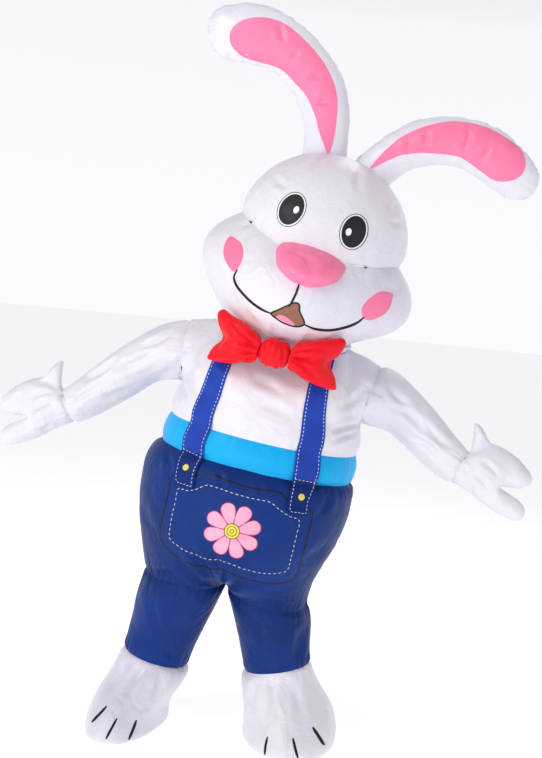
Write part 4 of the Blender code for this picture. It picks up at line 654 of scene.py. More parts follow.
def point_tree(points):
    tree = KDTree(len(points))
    for index, point in enumerate(points):
        tree.insert(point, index)
    tree.balance()
    return tree


def turn_of(a, b, c):
    # above zero where three flat points run against the clock
    return (b[0] - a[0]) * (c[1] - a[1]) - (b[1] - a[1]) * (c[0] - a[0])


# Materials

def add_node(tree, kind, place, **values):
    node = tree.nodes.new(kind)
    node.location = place
    for key, value in values.items():
        if hasattr(node, key):
            setattr(node, key, value)
        else:
            node.inputs[key.replace("_", " ")].default_value = value
    return node


def finish(name, base, second, roughness, grain, folds=None, tint_scale=3.0, metallic=0.0, sheen=0.0,
           coat=0.0, weave=0.0, specular=0.5):
    """Cloth or plastic: colour drifting between two tones, with folds, weave and fine grain in the bump."""
    material = bpy.data.materials.new(FINISH_MARK + name)
    material.use_nodes = True
    tree = material.node_tree
    shader = tree.nodes["Principled BSDF"]
    shader.inputs["Roughness"].default_value = roughness
    shader.inputs["Metallic"].default_value = metallic
    shader.inputs["Specular IOR Level"].default_value = specular
    shader.inputs["Sheen Weight"].default_value = sheen
    shader.inputs["Sheen Roughness"].default_value = 0.4
    shader.inputs["Coat Weight"].default_value = coat
    shader.inputs["Coat Roughness"].default_value = 0.28
    place = add_node(tree, "ShaderNodeTexCoord", (-1100, 0)).outputs["Object"]
    drift = add_node(tree, "ShaderNodeTexNoise", (-800, 200), Scale=tint_scale, Detail=3.0, Roughness=0.55)
    ramp = add_node(tree, "ShaderNodeValToRGB", (-560, 200))
    ramp.color_ramp.elements[0].position = 0.36
    ramp.color_ramp.elements[1].position = 0.64
    ramp.color_ramp.elements[0].color = (*base, 1.0)
    ramp.color_ramp.elements[1].color = (*second, 1.0)
    tree.links.new(place, drift.inputs["Vector"])
    tree.links.new(drift.outputs["Fac"], ramp.inputs["Fac"])
    tree.links.new(ramp.outputs["Color"], shader.inputs["Base Color"])
    last = None
    if folds:
        scale, strength, depth = folds
        crumple = add_node(tree, "ShaderNodeTexNoise", (-800, -100), Scale=scale, Detail=5.0,
                           Roughness=0.52, Distortion=1.1)
        bump = add_node(tree, "ShaderNodeBump", (-300, -100), Strength=strength, Distance=depth)
        tree.links.new(place, crumple.inputs["Vector"])
        tree.links.new(crumple.outputs["Fac"], bump.inputs["Height"])
        last = bump
    if weave:
        mapping = add_node(tree, "ShaderNodeMapping", (-900, -300))
        mapping.inputs["Rotation"].default_value = (0.5, 0.3, 0.785)
        threads = add_node(tree, "ShaderNodeTexVoronoi", (-640, -300), Scale=weave)
        threads.feature = "SMOOTH_F1"
        bump = add_node(tree, "ShaderNodeBump", (-200, -300), Strength=0.16, Distance=0.0004)
        tree.links.new(place, mapping.inputs["Vector"])
        tree.links.new(mapping.outputs["Vector"], threads.inputs["Vector"])
        tree.links.new(threads.outputs["Distance"], bump.inputs["Height"])
        if last:
            tree.links.new(last.outputs["Normal"], bump.inputs["Normal"])
        last = bump
    fine = add_node(tree, "ShaderNodeTexNoise", (-800, -520), Scale=grain[0], Detail=2.0)
    bump = add_node(tree, "ShaderNodeBump", (-100, -520), Strength=grain[1], Distance=0.0005)
    tree.links.new(place, fine.inputs["Vector"])
    tree.links.new(fine.outputs["Fac"], bump.inputs["Height"])
    if last:
        tree.links.new(last.outputs["Normal"], bump.inputs["Normal"])
    tree.links.new(bump.outputs["Normal"], shader.inputs["Normal"])
    return material


def tone(colour, share):
    return tuple(min(1.0, c * share) for c in colour)


def make_finishes():
    c = bpy.context.scene.costume_colours
    white, navy, band = tuple(c.white), tuple(c.navy), tuple(c.band)
    strap, pink, bow = tuple(c.strap), tuple(c.pink), tuple(c.bow)
    lilac = (white[0] * 0.93, white[1] * 0.92, white[2])
    rows = (
        ("white_cloth", white, lilac, 0.40, {"folds": BODY_FOLDS, "sheen": 0.05, "coat": 0.16, **FABRIC}),
        ("navy_cloth", navy, tone(navy, 1.5), 0.44, {"folds": BODY_FOLDS, "specular": 0.10, **FABRIC}),
        ("band_cloth", band, tone(band, 1.12), 0.42,
         {"folds": (16.0, 0.34, 0.008), "specular": 0.15, **FABRIC}),
        ("strap_cloth", strap, tone(strap, 1.25), 0.48,
         {"folds": STRAP_FOLDS, "tint_scale": 9.0, "specular": 0.12, **FABRIC}),
        ("strap_tab_cloth", tone(strap, 0.40), tone(strap, 0.52), 0.46,
         {"folds": STRAP_FOLDS, "specular": 0.12, **FABRIC}),
        ("pink_cloth", pink, tone(pink, 1.06), 0.42, {"folds": (18.0, 0.36, 0.008), **PRINTED}),
        ("bow_cloth", bow, tone(bow, 0.82), 0.40,
         {"folds": (24.0, 0.30, 0.006), "tint_scale": 12.0, "specular": 0.16, **FABRIC}),
        ("print_pink", tone(pink, 0.98), tone(pink, 1.05), 0.42, {"folds": PRINT_FOLDS, **PRINTED}),
        ("print_rose", (0.86, 0.24, 0.36), (0.90, 0.29, 0.41), 0.42, PRINTED),
        ("print_dark", (0.010, 0.009, 0.011), (0.016, 0.014, 0.018), 0.42, {"specular": 0.2, **FABRIC}),
        ("print_grey", (0.014, 0.014, 0.018), (0.022, 0.022, 0.028), 0.40,
         {"folds": PRINT_FOLDS, "specular": 0.2, **FABRIC}),
        ("print_white", (0.90, 0.89, 0.92), (0.84, 0.83, 0.88), 0.42, PRINTED),
        ("print_brown", (0.24, 0.085, 0.055), (0.30, 0.11, 0.07), 0.42, PRINTED),
        ("print_petal", (0.90, 0.34, 0.52), (0.93, 0.42, 0.58), 0.42, {"tint_scale": 20.0, **PRINTED}),
        ("print_magenta", (0.62, 0.05, 0.17), (0.70, 0.07, 0.20), 0.42, PRINTED),
        ("print_yellow", (0.80, 0.66, 0.06), (0.85, 0.74, 0.09), 0.42, PRINTED),
        ("stitch_thread", (0.74, 0.76, 0.80), (0.62, 0.64, 0.68), 0.6, {"grain": (2200.0, 0.2)}),
        ("button_plastic", (0.72, 0.62, 0.05), (0.78, 0.70, 0.08), 0.28,
         {"grain": (500.0, 0.05), "coat": 0.3}),
        ("zip_tape_cloth", (0.60, 0.59, 0.62), (0.66, 0.65, 0.68), 0.7,
         {"grain": (1400.0, 0.2), "weave": 700.0}),
        ("zip_metal", (0.50, 0.50, 0.51), (0.60, 0.60, 0.61), 0.30,
         {"grain": (900.0, 0.06), "metallic": 1.0}),
        ("fan_plastic", (0.050, 0.050, 0.054), (0.062, 0.062, 0.066), 0.45,
         {"grain": (900.0, 0.10), "coat": 0.1}),
    )
    return [finish(*row[:4], **row[4]) for row in rows]


def finishes():
    mark = len(FINISH_MARK)
    return {m.name[mark:]: m for m in bpy.data.materials if m.name.startswith(FINISH_MARK)}


def give(piece, body=BODY, nodes=()):
    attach(piece, body)
    if nodes:
        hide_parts(*nodes)
    return piece


# The cloth skin

def pair_key(first, second):
    return tuple(sorted((first, second)))


def weld_cage():
    # all outer sheets welded to one cage, each face marked with its piece
    cage = bmesh.new()
    for index, panel in enumerate(PANELS):
        points, faces = outer_sheet(panel[0])
        corners = [cage.verts.new(p) for p in points]
        for face in faces:
            try:
                cage.faces.new([corners[i] for i in face]).material_index = index
            except ValueError:
                continue
    rims = [v for v in cage.verts if v.is_boundary]
    bmesh.ops.remove_doubles(cage, verts=rims, dist=0.0008)
    crown = {i for i, p in enumerate(PANELS) if p[5] == "crown"}
    holes = [e for e in cage.edges if e.is_boundary and e.link_faces[0].material_index in crown]
    filled = bmesh.ops.holes_fill(cage, edges=holes, sides=0)["faces"]
    for face in filled:
        votes = [o.material_index for e in face.edges for o in e.link_faces if o is not face]
        face.material_index = max(set(votes), key=votes.count)
    bmesh.ops.triangulate(cage, faces=filled)
    bmesh.ops.recalc_face_normals(cage, faces=filled)
    bmesh.ops.join_triangles(cage, faces=cage.faces, cmp_materials=True,
                             angle_face_threshold=math.radians(JOIN_DEG[0]),
                             angle_shape_threshold=math.radians(JOIN_DEG[1]))
    layer = cage.edges.layers.float.new("crease_edge")
    for edge in cage.edges:
        if len(edge.link_faces) == 2:
            a, b = (PANELS[f.material_index][5] for f in edge.link_faces)
            if edge.link_faces[0].material_index != edge.link_faces[1].material_index:
                edge[layer] = SEAM_CREASES.get(pair_key(a, b), 0.0)
    mesh = bpy.data.meshes.new("skin_cage")
    cage.to_mesh(mesh)
    cage.free()
    return mesh


def seam_points(points, quads, piece):
    # points along every seam of the fine skin, with the seam's own numbers
    owner = {}
    spots = []
    rows = []
    for face, quad in enumerate(quads):
        for k in range(4):
            key = pair_key(quad[k], quad[(k + 1) % 4])
            if key not in owner:
                owner[key] = face
                continue
            first, second = piece[owner[key]], piece[face]
            if first != second:
                pair = pair_key(PANELS[first][5], PANELS[second][5])
                a, b = points[key[0]], points[key[1]]
                for share in (0.0, 0.33, 0.67):
                    spots.append(a * (1.0 - share) + b * share)
                    rows.append(SEAMS.get(pair, SEAMS[("shirt", "shirt")]))
    return spots, np.array(rows)


def seam_relief(points, spots, rows):
    # grooves along the seams and puckers that run out from them
    tree = point_tree(spots)
    shift = np.zeros(len(points))
    for index, point in enumerate(points):
        spot, nearest, distance = tree.find(point)
        groove, width, pucker, spacing, reach = rows[nearest]
        if distance > reach * 1.6:
            continue
        wave = noise.noise(spot / spacing)
        slow = 0.7 + 0.6 * noise.noise(spot * 7.0)
        trough = math.exp(-(wave / 0.17) ** 2)
        peak = distance / (reach * 0.30)
        rise = peak * math.exp(1.0 - peak)
        shift[index] = -groove * math.exp(-(distance / width) ** 2) - pucker * rise * slow * (trough - 0.45)
    return shift


def crease_relief(points, normals):
    # troughs with soft ridges beside them, where the table lays them
    shift = np.zeros(len(points))
    for place in ("torso", "head", "world"):
        local = from_world(points, place)
        for row in CREASES:
            if row[0] != place:
                continue
            start, end = np.array(row[1:3]), np.array(row[3:5])
            side, depth, width = row[5:]
            along = end - start
            length = np.linalg.norm(along)
            spot = local[:, (0, 2)] - start
            share = (spot @ along) / length ** 2
            across = (spot[:, 0] * along[1] - spot[:, 1] * along[0]) / length
            bend = 0.10 * length * math.sin(37.0 * (start[0] + end[1]))
            across = across - bend * np.sin(np.pi * np.clip(share, 0.0, 1.0))
            near = (share > 0.0) & (share < 1.0) & (np.abs(across) < width * 4.0)
            near &= normals[:, 1] * side > 0.0
            if place != "head" and side == -1 and abs(start[0]) < 0.34 and start[1] > -0.85:
                near &= np.abs(local[:, 0]) < 0.36
            fade = np.sin(np.pi * np.clip(share, 0.0, 1.0)) ** 0.8
            fade = fade * np.clip(normals[:, 1] * side * 3.0, 0.0, 1.0)
            trough = np.exp(-(across / width) ** 2)
            ridge = np.exp(-((np.abs(across) - 1.9 * width) / width) ** 2)
            shift += np.where(near, CREASE_GAIN[place] * depth * fade * (0.45 * ridge - trough), 0.0)
    return shift


def drift_relief(points):
    # the slow unevenness of cloth that air holds up
    shift = np.empty(len(points))
    for index, point in enumerate(points):
        spot = Vector(point)
        shift[index] = 0.0016 * noise.noise(spot * 8.0) + 0.0009 * noise.noise(spot * 21.0)
    return shift


class Skin:
    """The rounded, creased cloth of the whole costume at one level."""

    def __init__(self, cage, level):
        holder = bpy.data.objects.new("skin_cage_%d" % level, cage.copy())
        bpy.context.scene.collection.objects.link(holder)
        fine = rounded(holder, level)
        self.points = vertex_table(fine)
        self.quads = quad_table(fine)
        piece = np.empty(len(fine.polygons), dtype=np.int32)
        fine.polygons.foreach_get("material_index", piece)
        self.piece = piece
        copy = holder.data
        bpy.data.objects.remove(holder)
        bpy.data.meshes.remove(copy)
        bpy.data.meshes.remove(fine)
        normals = vertex_normals(self.points, self.quads)
        spots, rows = seam_points(self.points, self.quads, self.piece)
        relief = bpy.context.scene.costume_sizes.relief
        shift = seam_relief([Vector(p) for p in self.points], [Vector(s) for s in spots], rows)
        shift += crease_relief(self.points, normals) + drift_relief(self.points)
        self.points = self.points + normals * (shift * relief)[:, None]
        self.normals = vertex_normals(self.points, self.quads)

    def panel(self, index):
        quads = self.quads[self.piece == index]
        used, flat = np.unique(quads, return_inverse=True)
        return self.points[used], self.normals[used], flat.reshape(-1, 4)


def sheet_area(points, quads):
    a, b, c, d = (points[quads[:, k]] for k in range(4))
    return float(np.linalg.norm(np.cross(c - a, d - b), axis=1).sum() * 0.5)


def pulled_rim(points, quads, amount):
    # moves the rim of a sheet a hair back into the sheet, so that neighbours don't touch
    ends = {}
    for quad in quads:
        for k in range(4):
            ends.setdefault((quad[k], quad[(k + 1) % 4]), tuple(quad))
    moved = points.copy()
    pull = {}
    for (a, b), quad in ends.items():
        if (b, a) not in ends:
            middle = points[list(quad)].mean(axis=0)
            for corner in (a, b):
                pull.setdefault(corner, []).append(middle - points[corner])
    for corner, ways in pull.items():
        way = np.sum(ways, axis=0)
        moved[corner] += way / max(np.linalg.norm(way), 1e-9) * amount
    return moved


cloth_tree = {}


def skin_hit(x, z):
    # where a ray from the front meets the cloth, or else the nearest cloth
    place, normal, _, _ = cloth_tree["skin"].ray_cast(Vector((x, -2.0, z)), Vector((0.0, 1.0, 0.0)))
    if place is None:
        place, normal, _, _ = cloth_tree["skin"].find_nearest(Vector((x, -0.2, z)))
    return np.array(place), np.array(normal)


class COSTUME_OT_cloth(bpy.types.Operator):
    """Makes every cut panel of the air-blown body, from the crown to the feet"""

    bl_idname = "costume.cloth"
    bl_label = "Cloth panels"

    def execute(self, context):
        finish_of = finishes()
        cage = weld_cage()
        skins = {level: Skin(cage, level) for level in sorted({p[4] for p in PANELS})}
        bpy.data.meshes.remove(cage)
        wall = context.scene.costume_sizes.cloth_wall
        all_points = []
        all_faces = []
        base = 0
        for index, (node, slot_name, width, length, level, group) in enumerate(PANELS):
            points, normals, quads = skins[level].panel(index)
            if not len(quads):
                raise RuntimeError("no cloth found for " + node)
            all_points.extend(points)
            all_faces.extend((quads + base).tolist())
            base += len(points)
            outer = pulled_rim(points, quads, SEAM_PULL)
            inner = outer - normals * wall
            piece = shell_object("cloth_" + node, outer, inner, quads, finish_of[slot_name])
            give(piece, nodes=(node,))
            area = sheet_area(points, quads)
            limit = width * length
            if area > limit:
                length = round(area / width * 1.06, 3)
        cloth_tree["skin"] = BVHTree.FromPolygons([Vector(p) for p in all_points], all_faces)
        return {"FINISHED"}


# Prints on the cloth

def on_cloth(points, place):
    spots = to_world([(x, 0.0, h) for x, h in points], place)
    hits = [skin_hit(x, z) for x, _, z in spots]
    return np.array([h[0] for h in hits]), np.array([h[1] for h in hits])


def print_shell(name, flat_points, faces, place, material, lift):
    places, normals = on_cloth(flat_points, place)
    return shell_object(name, places + normals * lift, places - normals * PRINT_SINK, faces, material)


def inside(point, outline):
    x, h = point
    odd = False
    for (x0, h0), (x1, h1) in zip(outline, np.roll(outline, -1, axis=0)):
        if (h0 > h) != (h1 > h) and x < (x1 - x0) * (h - h0) / (h1 - h0) + x0:
            odd = not odd
    return odd


def patch(name, outline, place, material, lift=PRINT_LIFT, step=PRINT_STEP):
    # a filled printed area that lies on the cloth
    rim = smooth_path(outline, step * 0.8, closed=True)
    low, high = rim.min(axis=0), rim.max(axis=0)
    spots = [tuple(p) for p in rim]
    for row, h in enumerate(np.arange(low[1] + step * 0.5, high[1], step)):
        for x in np.arange(low[0] + (0.25 + 0.5 * (row % 2)) * step, high[0], step):
            clear = np.min(np.linalg.norm(rim - (x, h), axis=1)) > step * 0.45
            if clear and inside((x, h), rim):
                spots.append((x, h))
    count = len(rim)
    edges = [(i, (i + 1) % count) for i in range(count)]
    result = delaunay_2d_cdt([Vector(s) for s in spots], edges, [], 1, 1e-7)
    flat = [(v.x, v.y) for v in result[0]]
    faces = []
    for face in result[2]:
        turn = turn_of(*(flat[i] for i in face[:3]))
        faces.append(tuple(face) if turn > 0.0 else tuple(reversed(face)))
    return print_shell(name, flat, faces, place, material, lift)


def line(name, path, place, material, width, closed=False, lift=PRINT_LIFT, taper=0.0):
    # a printed line that lies on the cloth, with tapered ends where it has any
    path = smooth_path(path, OUTLINE_STEP, closed)
    count = len(path)
    spots = []
    for index in range(count):
        ahead = path[(index + 1) % count] if closed or index + 1 < count else path[index]
        behind = path[index - 1] if closed or index else path[index]
        way = ahead - behind
        side = np.array((way[1], -way[0])) / max(np.linalg.norm(way), 1e-9)
        share = index / max(count - 1, 1)
        half = width * 0.5
        if taper and not closed:
            half *= min(1.0, (1.0 - taper) + taper * math.sin(math.pi * share) * 1.6)
        for k in (-1.0, 0.0, 1.0):
            spots.append(path[index] + side * half * k)
    spans = count if closed else count - 1
    faces = []
    for index in range(spans):
        a, b = index * 3, (index + 1) % count * 3
        for k in (0, 1):
            faces.append((a + k, a + k + 1, b + k + 1, b + k))
    if turn_of(*(spots[i] for i in faces[0][:3])) < 0.0:
        faces = [tuple(reversed(f)) for f in faces]
    return print_shell(name, spots, faces, place, material, lift)


class COSTUME_OT_ear_insets(bpy.types.Operator):
    """Lays the pink inset on the front of each ear"""

    bl_idname = "costume.ear_insets"
    bl_label = "Ear insets"

    def execute(self, context):
        finish_of = finishes()
        for side, outline, flat in (("right", INSET_RIGHT, (0.70, 0.21)), ("left", INSET_LEFT, (0.60, 0.18))):
            node = "ear_%s_inset" % side
            piece = patch("cloth_" + node, outline, "world", finish_of["pink_cloth"], lift=INSET_LIFT)
            give(piece, nodes=(node,))
        return {"FINISHED"}


class COSTUME_OT_face(bpy.types.Operator):
    """Prints the eyes, cheeks, mouth and smile on the face"""

    bl_idname = "costume.face"
    bl_label = "Face print"

    def execute(self, context):
        f = finishes()
        low, middle, high = LAYER_LIFTS
        rows = (
            ("eye_right_rim", oval(*EYE_RIGHT, grow=EYE_RIM), "print_white", low),
            ("eye_left_rim", oval(*EYE_LEFT, grow=EYE_RIM), "print_white", low),
            ("eye_right", oval(*EYE_RIGHT), "print_grey", middle),
            ("eye_left", oval(*EYE_LEFT), "print_grey", middle),
            ("eye_right_glint", oval(*EYE_RIGHT_GLINT), "print_white", high),
            ("eye_left_glint", oval(*EYE_LEFT_GLINT), "print_white", high),
            ("cheek_right", CHEEK_RIGHT, "print_pink", low),
            ("cheek_left", CHEEK_LEFT, "print_pink", low),
            ("mouth", MOUTH, "print_brown", low),
            ("tongue", TONGUE, "print_rose", middle),
        )
        for name, outline, finish_name, lift in rows:
            piece = patch("print_" + name, outline, "head", f[finish_name], lift=lift, step=0.005)
            give(piece)
        for name, path, closed, width in (
            ("eye_right_line", oval(*EYE_RIGHT, grow=EYE_LINE_REACH), True, EYE_LINE_WIDTH),
            ("eye_left_line", oval(*EYE_LEFT, grow=EYE_LINE_REACH), True, EYE_LINE_WIDTH),
            ("philtrum", PHILTRUM, False, LINE_WIDTH * 0.9),
            ("smile_right", SMILE_RIGHT, False, LINE_WIDTH),
            ("smile_left", SMILE_LEFT, False, LINE_WIDTH),
            ("mouth_line", MOUTH, True, MOUTH_LINE_WIDTH),
        ):
            piece = line("print_" + name, path, "head", f["print_dark"], width, closed, lift=0.0012,
                         taper=0.55)
            give(piece)
        return {"FINISHED"}


# Stitches and teeth

def path_tree(name, shape):
    # a node tree that sets one small part along a path, turned to the path and to the cloth
    tree = bpy.data.node_groups.new(name, "GeometryNodeTree")
    tree.interface.new_socket("Geometry", in_out="INPUT", socket_type="NodeSocketGeometry")
    for label, value in (("Pitch", 0.0135), ("Length", 0.0085), ("Width", 0.002), ("Height", 0.0008)):
        socket = tree.interface.new_socket(label, in_out="INPUT", socket_type="NodeSocketFloat")
        socket.default_value = value
    tree.interface.new_socket("Finish", in_out="INPUT", socket_type="NodeSocketMaterial")
    tree.interface.new_socket("Geometry", in_out="OUTPUT", socket_type="NodeSocketGeometry")
    group = add_node(tree, "NodeGroupInput", (-900, 0))
    curve = add_node(tree, "GeometryNodeMeshToCurve", (-700, 200))
    even = add_node(tree, "GeometryNodeResampleCurve", (-500, 200))
    even.mode = "LENGTH"
    tangent = add_node(tree, "GeometryNodeInputTangent", (-500, -100))
    up = add_node(tree, "GeometryNodeInputNamedAttribute", (-500, -250))
    up.data_type = "FLOAT_VECTOR"
    up.inputs["Name"].default_value = "up"
    first = add_node(tree, "FunctionNodeAlignRotationToVector", (-280, -100))
    first.axis = "Z"
    second = add_node(tree, "FunctionNodeAlignRotationToVector", (-80, -100))
    second.axis = "X"
    second.pivot_axis = "Z"
    size = add_node(tree, "ShaderNodeCombineXYZ", (-280, -350))
    part = add_node(tree, shape[0], (-280, 350), **shape[1])
    scatter = add_node(tree, "GeometryNodeInstanceOnPoints", (120, 200))
    real = add_node(tree, "GeometryNodeRealizeInstances", (320, 200))
    paint = add_node(tree, "GeometryNodeSetMaterial", (500, 200))
    out = add_node(tree, "NodeGroupOutput", (700, 200))
    link = tree.links.new
    link(group.outputs["Geometry"], curve.inputs["Mesh"])
    link(curve.outputs["Curve"], even.inputs["Curve"])
    link(group.outputs["Pitch"], even.inputs["Length"])
    link(up.outputs["Attribute"], first.inputs["Vector"])
    link(first.outputs["Rotation"], second.inputs["Rotation"])
    link(tangent.outputs["Tangent"], second.inputs["Vector"])
    link(group.outputs["Length"], size.inputs["X"])
    link(group.outputs["Width"], size.inputs["Y"])
    link(group.outputs["Height"], size.inputs["Z"])
    link(even.outputs["Curve"], scatter.inputs["Points"])
    link(part.outputs["Mesh"], scatter.inputs["Instance"])
    link(second.outputs["Rotation"], scatter.inputs["Rotation"])
    link(size.outputs["Vector"], scatter.inputs["Scale"])
    link(scatter.outputs["Instances"], real.inputs["Geometry"])
    link(real.outputs["Geometry"], paint.inputs["Geometry"])
    link(group.outputs["Finish"], paint.inputs["Material"])
    link(paint.outputs["Geometry"], out.inputs["Geometry"])
    return tree


def along_paths(name, paths, tree, material, pitch, length, width):
    # runs the node tree on the paths and keeps its result as a plain mesh
    height = STITCH_HEIGHT
    points = []
    edges = []
    ups = []
    for places, normals, closed in paths:
        base = len(points)
        points.extend(places)
        ups.extend(normals)
        count = len(places)
        edges.extend((base + i, base + (i + 1) % count) for i in range(count if closed else count - 1))
    mesh = bpy.data.meshes.new(name + "_path")
    mesh.from_pydata([tuple(p) for p in points], edges, [])
    attribute = mesh.attributes.new("up", "FLOAT_VECTOR", "POINT")
    attribute.data.foreach_set("vector", np.array(ups, dtype=float).ravel())
    holder = bpy.data.objects.new(name + "_path", mesh)
    bpy.context.scene.collection.objects.link(holder)
    modifier = holder.modifiers.new("Along", "NODES")
    modifier.node_group = tree
    sockets = {s.name: s.identifier for s in tree.interface.items_tree if s.in_out == "INPUT"}
    values = {"Pitch": pitch, "Length": length, "Width": width, "Height": height, "Finish": material}
    for label, value in values.items():
        modifier[sockets[label]] = value
    holder.update_tag()
    bpy.context.view_layer.update()
    result = evaluated_mesh(holder)
    result.name = name
    if not len(result.polygons):
        raise RuntimeError("no parts along the path of " + name)
    for key in [a.name for a in result.attributes if a.name == "up"]:
        result.attributes.remove(result.attributes[key])
    piece = bpy.data.objects.new(name, result)
    bpy.context.scene.collection.objects.link(piece)
    bpy.data.objects.remove(holder)
    bpy.data.meshes.remove(mesh)
    if not len(result.materials):
        result.materials.append(material)
    return piece


def stitch_tree():
    tree = bpy.data.node_groups.get("stitches")
    return tree or path_tree("stitches", ("GeometryNodeMeshIcoSphere", {"Radius": 0.5, "Subdivisions": 2}))


class COSTUME_OT_pocket(bpy.types.Operator):
    """Prints the pocket outline, its stitches and the daisy on the trousers"""

    bl_idname = "costume.pocket"
    bl_label = "Pocket print"

    def execute(self, context):
        f = finishes()
        sizes = context.scene.costume_sizes
        piece = line("print_pocket_line", POCKET, "torso", f["print_dark"], POCKET_LINE_WIDTH, closed=True)
        give(piece)
        path = smooth_path(POCKET_STITCH, 0.004, closed=True)
        places, normals = on_cloth(path, "torso")
        piece = along_paths("stitches_pocket", [(places + normals * 0.0004, normals, True)], stitch_tree(),
                            f["stitch_thread"], sizes.stitch_pitch * 1.25, sizes.stitch_length * 1.25, 0.0024)
        give(piece)
        centre = np.array(FLOWER_CENTRE)
        for index in range(FLOWER_PETALS):
            turn = math.radians(FLOWER_START_DEG + index * 360.0 / FLOWER_PETALS)
            out = np.array((math.cos(turn), math.sin(turn)))
            side = np.array((-out[1], out[0]))
            left = [centre + (out * a + side * b) * FLOWER_REACH for a, b in PETAL_ROWS]
            right = [centre + (out * a - side * b) * FLOWER_REACH for a, b in reversed(PETAL_ROWS)]
            outline = left + [centre + out * FLOWER_REACH] + right
            give(patch("print_petal_%d" % (index + 1), outline, "torso", f["print_petal"]))
            piece = line("print_petal_line_%d" % (index + 1), outline, "torso", f["print_magenta"], 0.0022,
                         closed=True, lift=0.0010)
            give(piece)
        disc = oval(*FLOWER_CENTRE, DAISY_RADIUS, DAISY_RADIUS, 0.0)
        give(patch("print_daisy_disc", disc, "torso", f["print_yellow"], lift=0.0013))
        for name, radius in DAISY_RINGS:
            ring = oval(*FLOWER_CENTRE, radius, radius, 0.0)
            piece = line("print_daisy_ring_" + name, ring, "torso", f["print_dark"], 0.0018, closed=True,
                         lift=0.0017)
            give(piece)
        return {"FINISHED"}


# Stuffed pieces

def soft_copy(node, level):
    # a rounded copy of a closed solid, as points and quads
    return rounded_tables(node, merged(node), level, JOIN_DEG)


class COSTUME_OT_nose(bpy.types.Operator):
    """Makes the stuffed pink nose with its dimple"""

    bl_idname = "costume.nose"
    bl_label = "Nose"

    def execute(self, context):
        points, quads = soft_copy("nose", 3)
        normals = vertex_normals(points, quads)
        local = from_world(points, "head")
        x, h = local[:, 0], local[:, 2]
        front = np.clip(-normals[:, 1] * 2.0, 0.0, 1.0)
        dimple = np.exp(-(((x - 0.024) / 0.020) ** 2 + ((h - 0.222) / 0.018) ** 2))
        facet = np.exp(-((h - 0.232 - 0.10 * np.abs(x - 0.02)) / 0.007) ** 2)
        facet = facet * np.exp(-((x - 0.02) / 0.075) ** 2)
        shift = -front * (0.0060 * dimple + 0.0030 * facet)
        shift += np.array([0.0012 * noise.noise(Vector(p) * 34.0) for p in points])
        points = points + normals * shift[:, None]
        piece = mesh_object("pad_nose", points, quads, finishes()["pink_cloth"])
        give(piece, nodes=("nose",))
        return {"FINISHED"}


class COSTUME_OT_bow(bpy.types.Operator):
    """Makes the puffed red bow: two pleated lobes and the gathered knot"""

    bl_idname = "costume.bow"
    bl_label = "Bow tie"

    def execute(self, context):
        material = finishes()["bow_cloth"]
        for node in ("bow_lobe_right", "bow_lobe_left", "bow_knot"):
            points, quads = soft_copy(node, 3)
            normals = vertex_normals(points, quads)
            local = from_world(points, "torso")
            middle_x, middle_h = BOW_MIDDLE
            out = np.abs(local[:, 0] - middle_x)
            up = local[:, 2] - middle_h
            shift = np.zeros(len(points))
            if node == "bow_knot":
                for centre, depth, width in KNOT_FOLDS:
                    bend = 0.006 * np.sin(up * 60.0 + centre * 90.0)
                    shift -= depth * np.exp(-((local[:, 0] - middle_x - centre - bend) / width) ** 2)
            else:
                angle = np.arctan2(up, out - 0.012)
                fade = np.clip((out - 0.046) / 0.02, 0.0, 1.0)
                fade = fade * np.clip((0.19 - out) / 0.09, 0.0, 1.0)
                side = np.sign(local[:, 0] - middle_x)
                for centre, depth, width in LOBE_FOLDS:
                    bend = 0.06 * np.sin(out * 40.0 + centre * 9.0 + side)
                    shift -= depth * fade * np.exp(-((angle - centre - bend) / width) ** 2)
                shift += 0.0016 * np.clip((out - 0.05) / 0.05, 0.0, 1.0)
                end = np.clip((out - 0.125) / 0.060, 0.0, 1.0) ** 1.5
                notch = np.exp(-((up - 0.004) / 0.026) ** 2)
                corner = np.exp(-((np.abs(up - 0.004) - 0.062) / 0.020) ** 2)
                local[:, 0] += side * end * (0.010 * corner - 0.026 * notch)
                local[:, 2] += end * corner * np.sign(up - 0.004) * 0.007
                points = to_world(local, "torso")
            shift += np.array([0.0010 * noise.noise(Vector(p) * 40.0) for p in points])
            points = points + normals * shift[:, None]
            piece = mesh_object("pad_" + node, points, quads, material)
            give(piece, nodes=(node,))
        return {"FINISHED"}


# Straps

def strap_sheet(node, level):
    # the strap's outer sheet, rounded and pushed out wherever the creased shirt would show through
    points, faces = outer_sheet(node)
    cage = bmesh.new()
    corners = [cage.verts.new(p) for p in points]
    for face in faces:
        cage.faces.new([corners[i] for i in face])
    points, quads = rounded_tables(node, cage, level, STRAP_JOIN_DEG)
    normals = vertex_normals(points, quads)
    for index, (point, normal) in enumerate(zip(points, normals)):
        start = Vector(point + normal * STRAP_PROBE)
        place, _, _, distance = cloth_tree["skin"].ray_cast(start, Vector(-normal), 0.09)
        if place is not None:
            clearance = distance - STRAP_PROBE
            if clearance < STRAP_ROOM:
                points[index] = point + normal * (STRAP_ROOM - clearance)
    return points, vertex_normals(points, quads), quads


def rim_loops(quads):
    # the ordered rim of a sheet
    directed = {(q[k], q[(k + 1) % 4]) for q in quads.tolist() for k in range(4)}
    follow = {a: b for a, b in directed if (b, a) not in directed}
    start = min(follow)
    loop = [start]
    while follow[loop[-1]] != start:
        loop.append(follow[loop[-1]])
    return loop


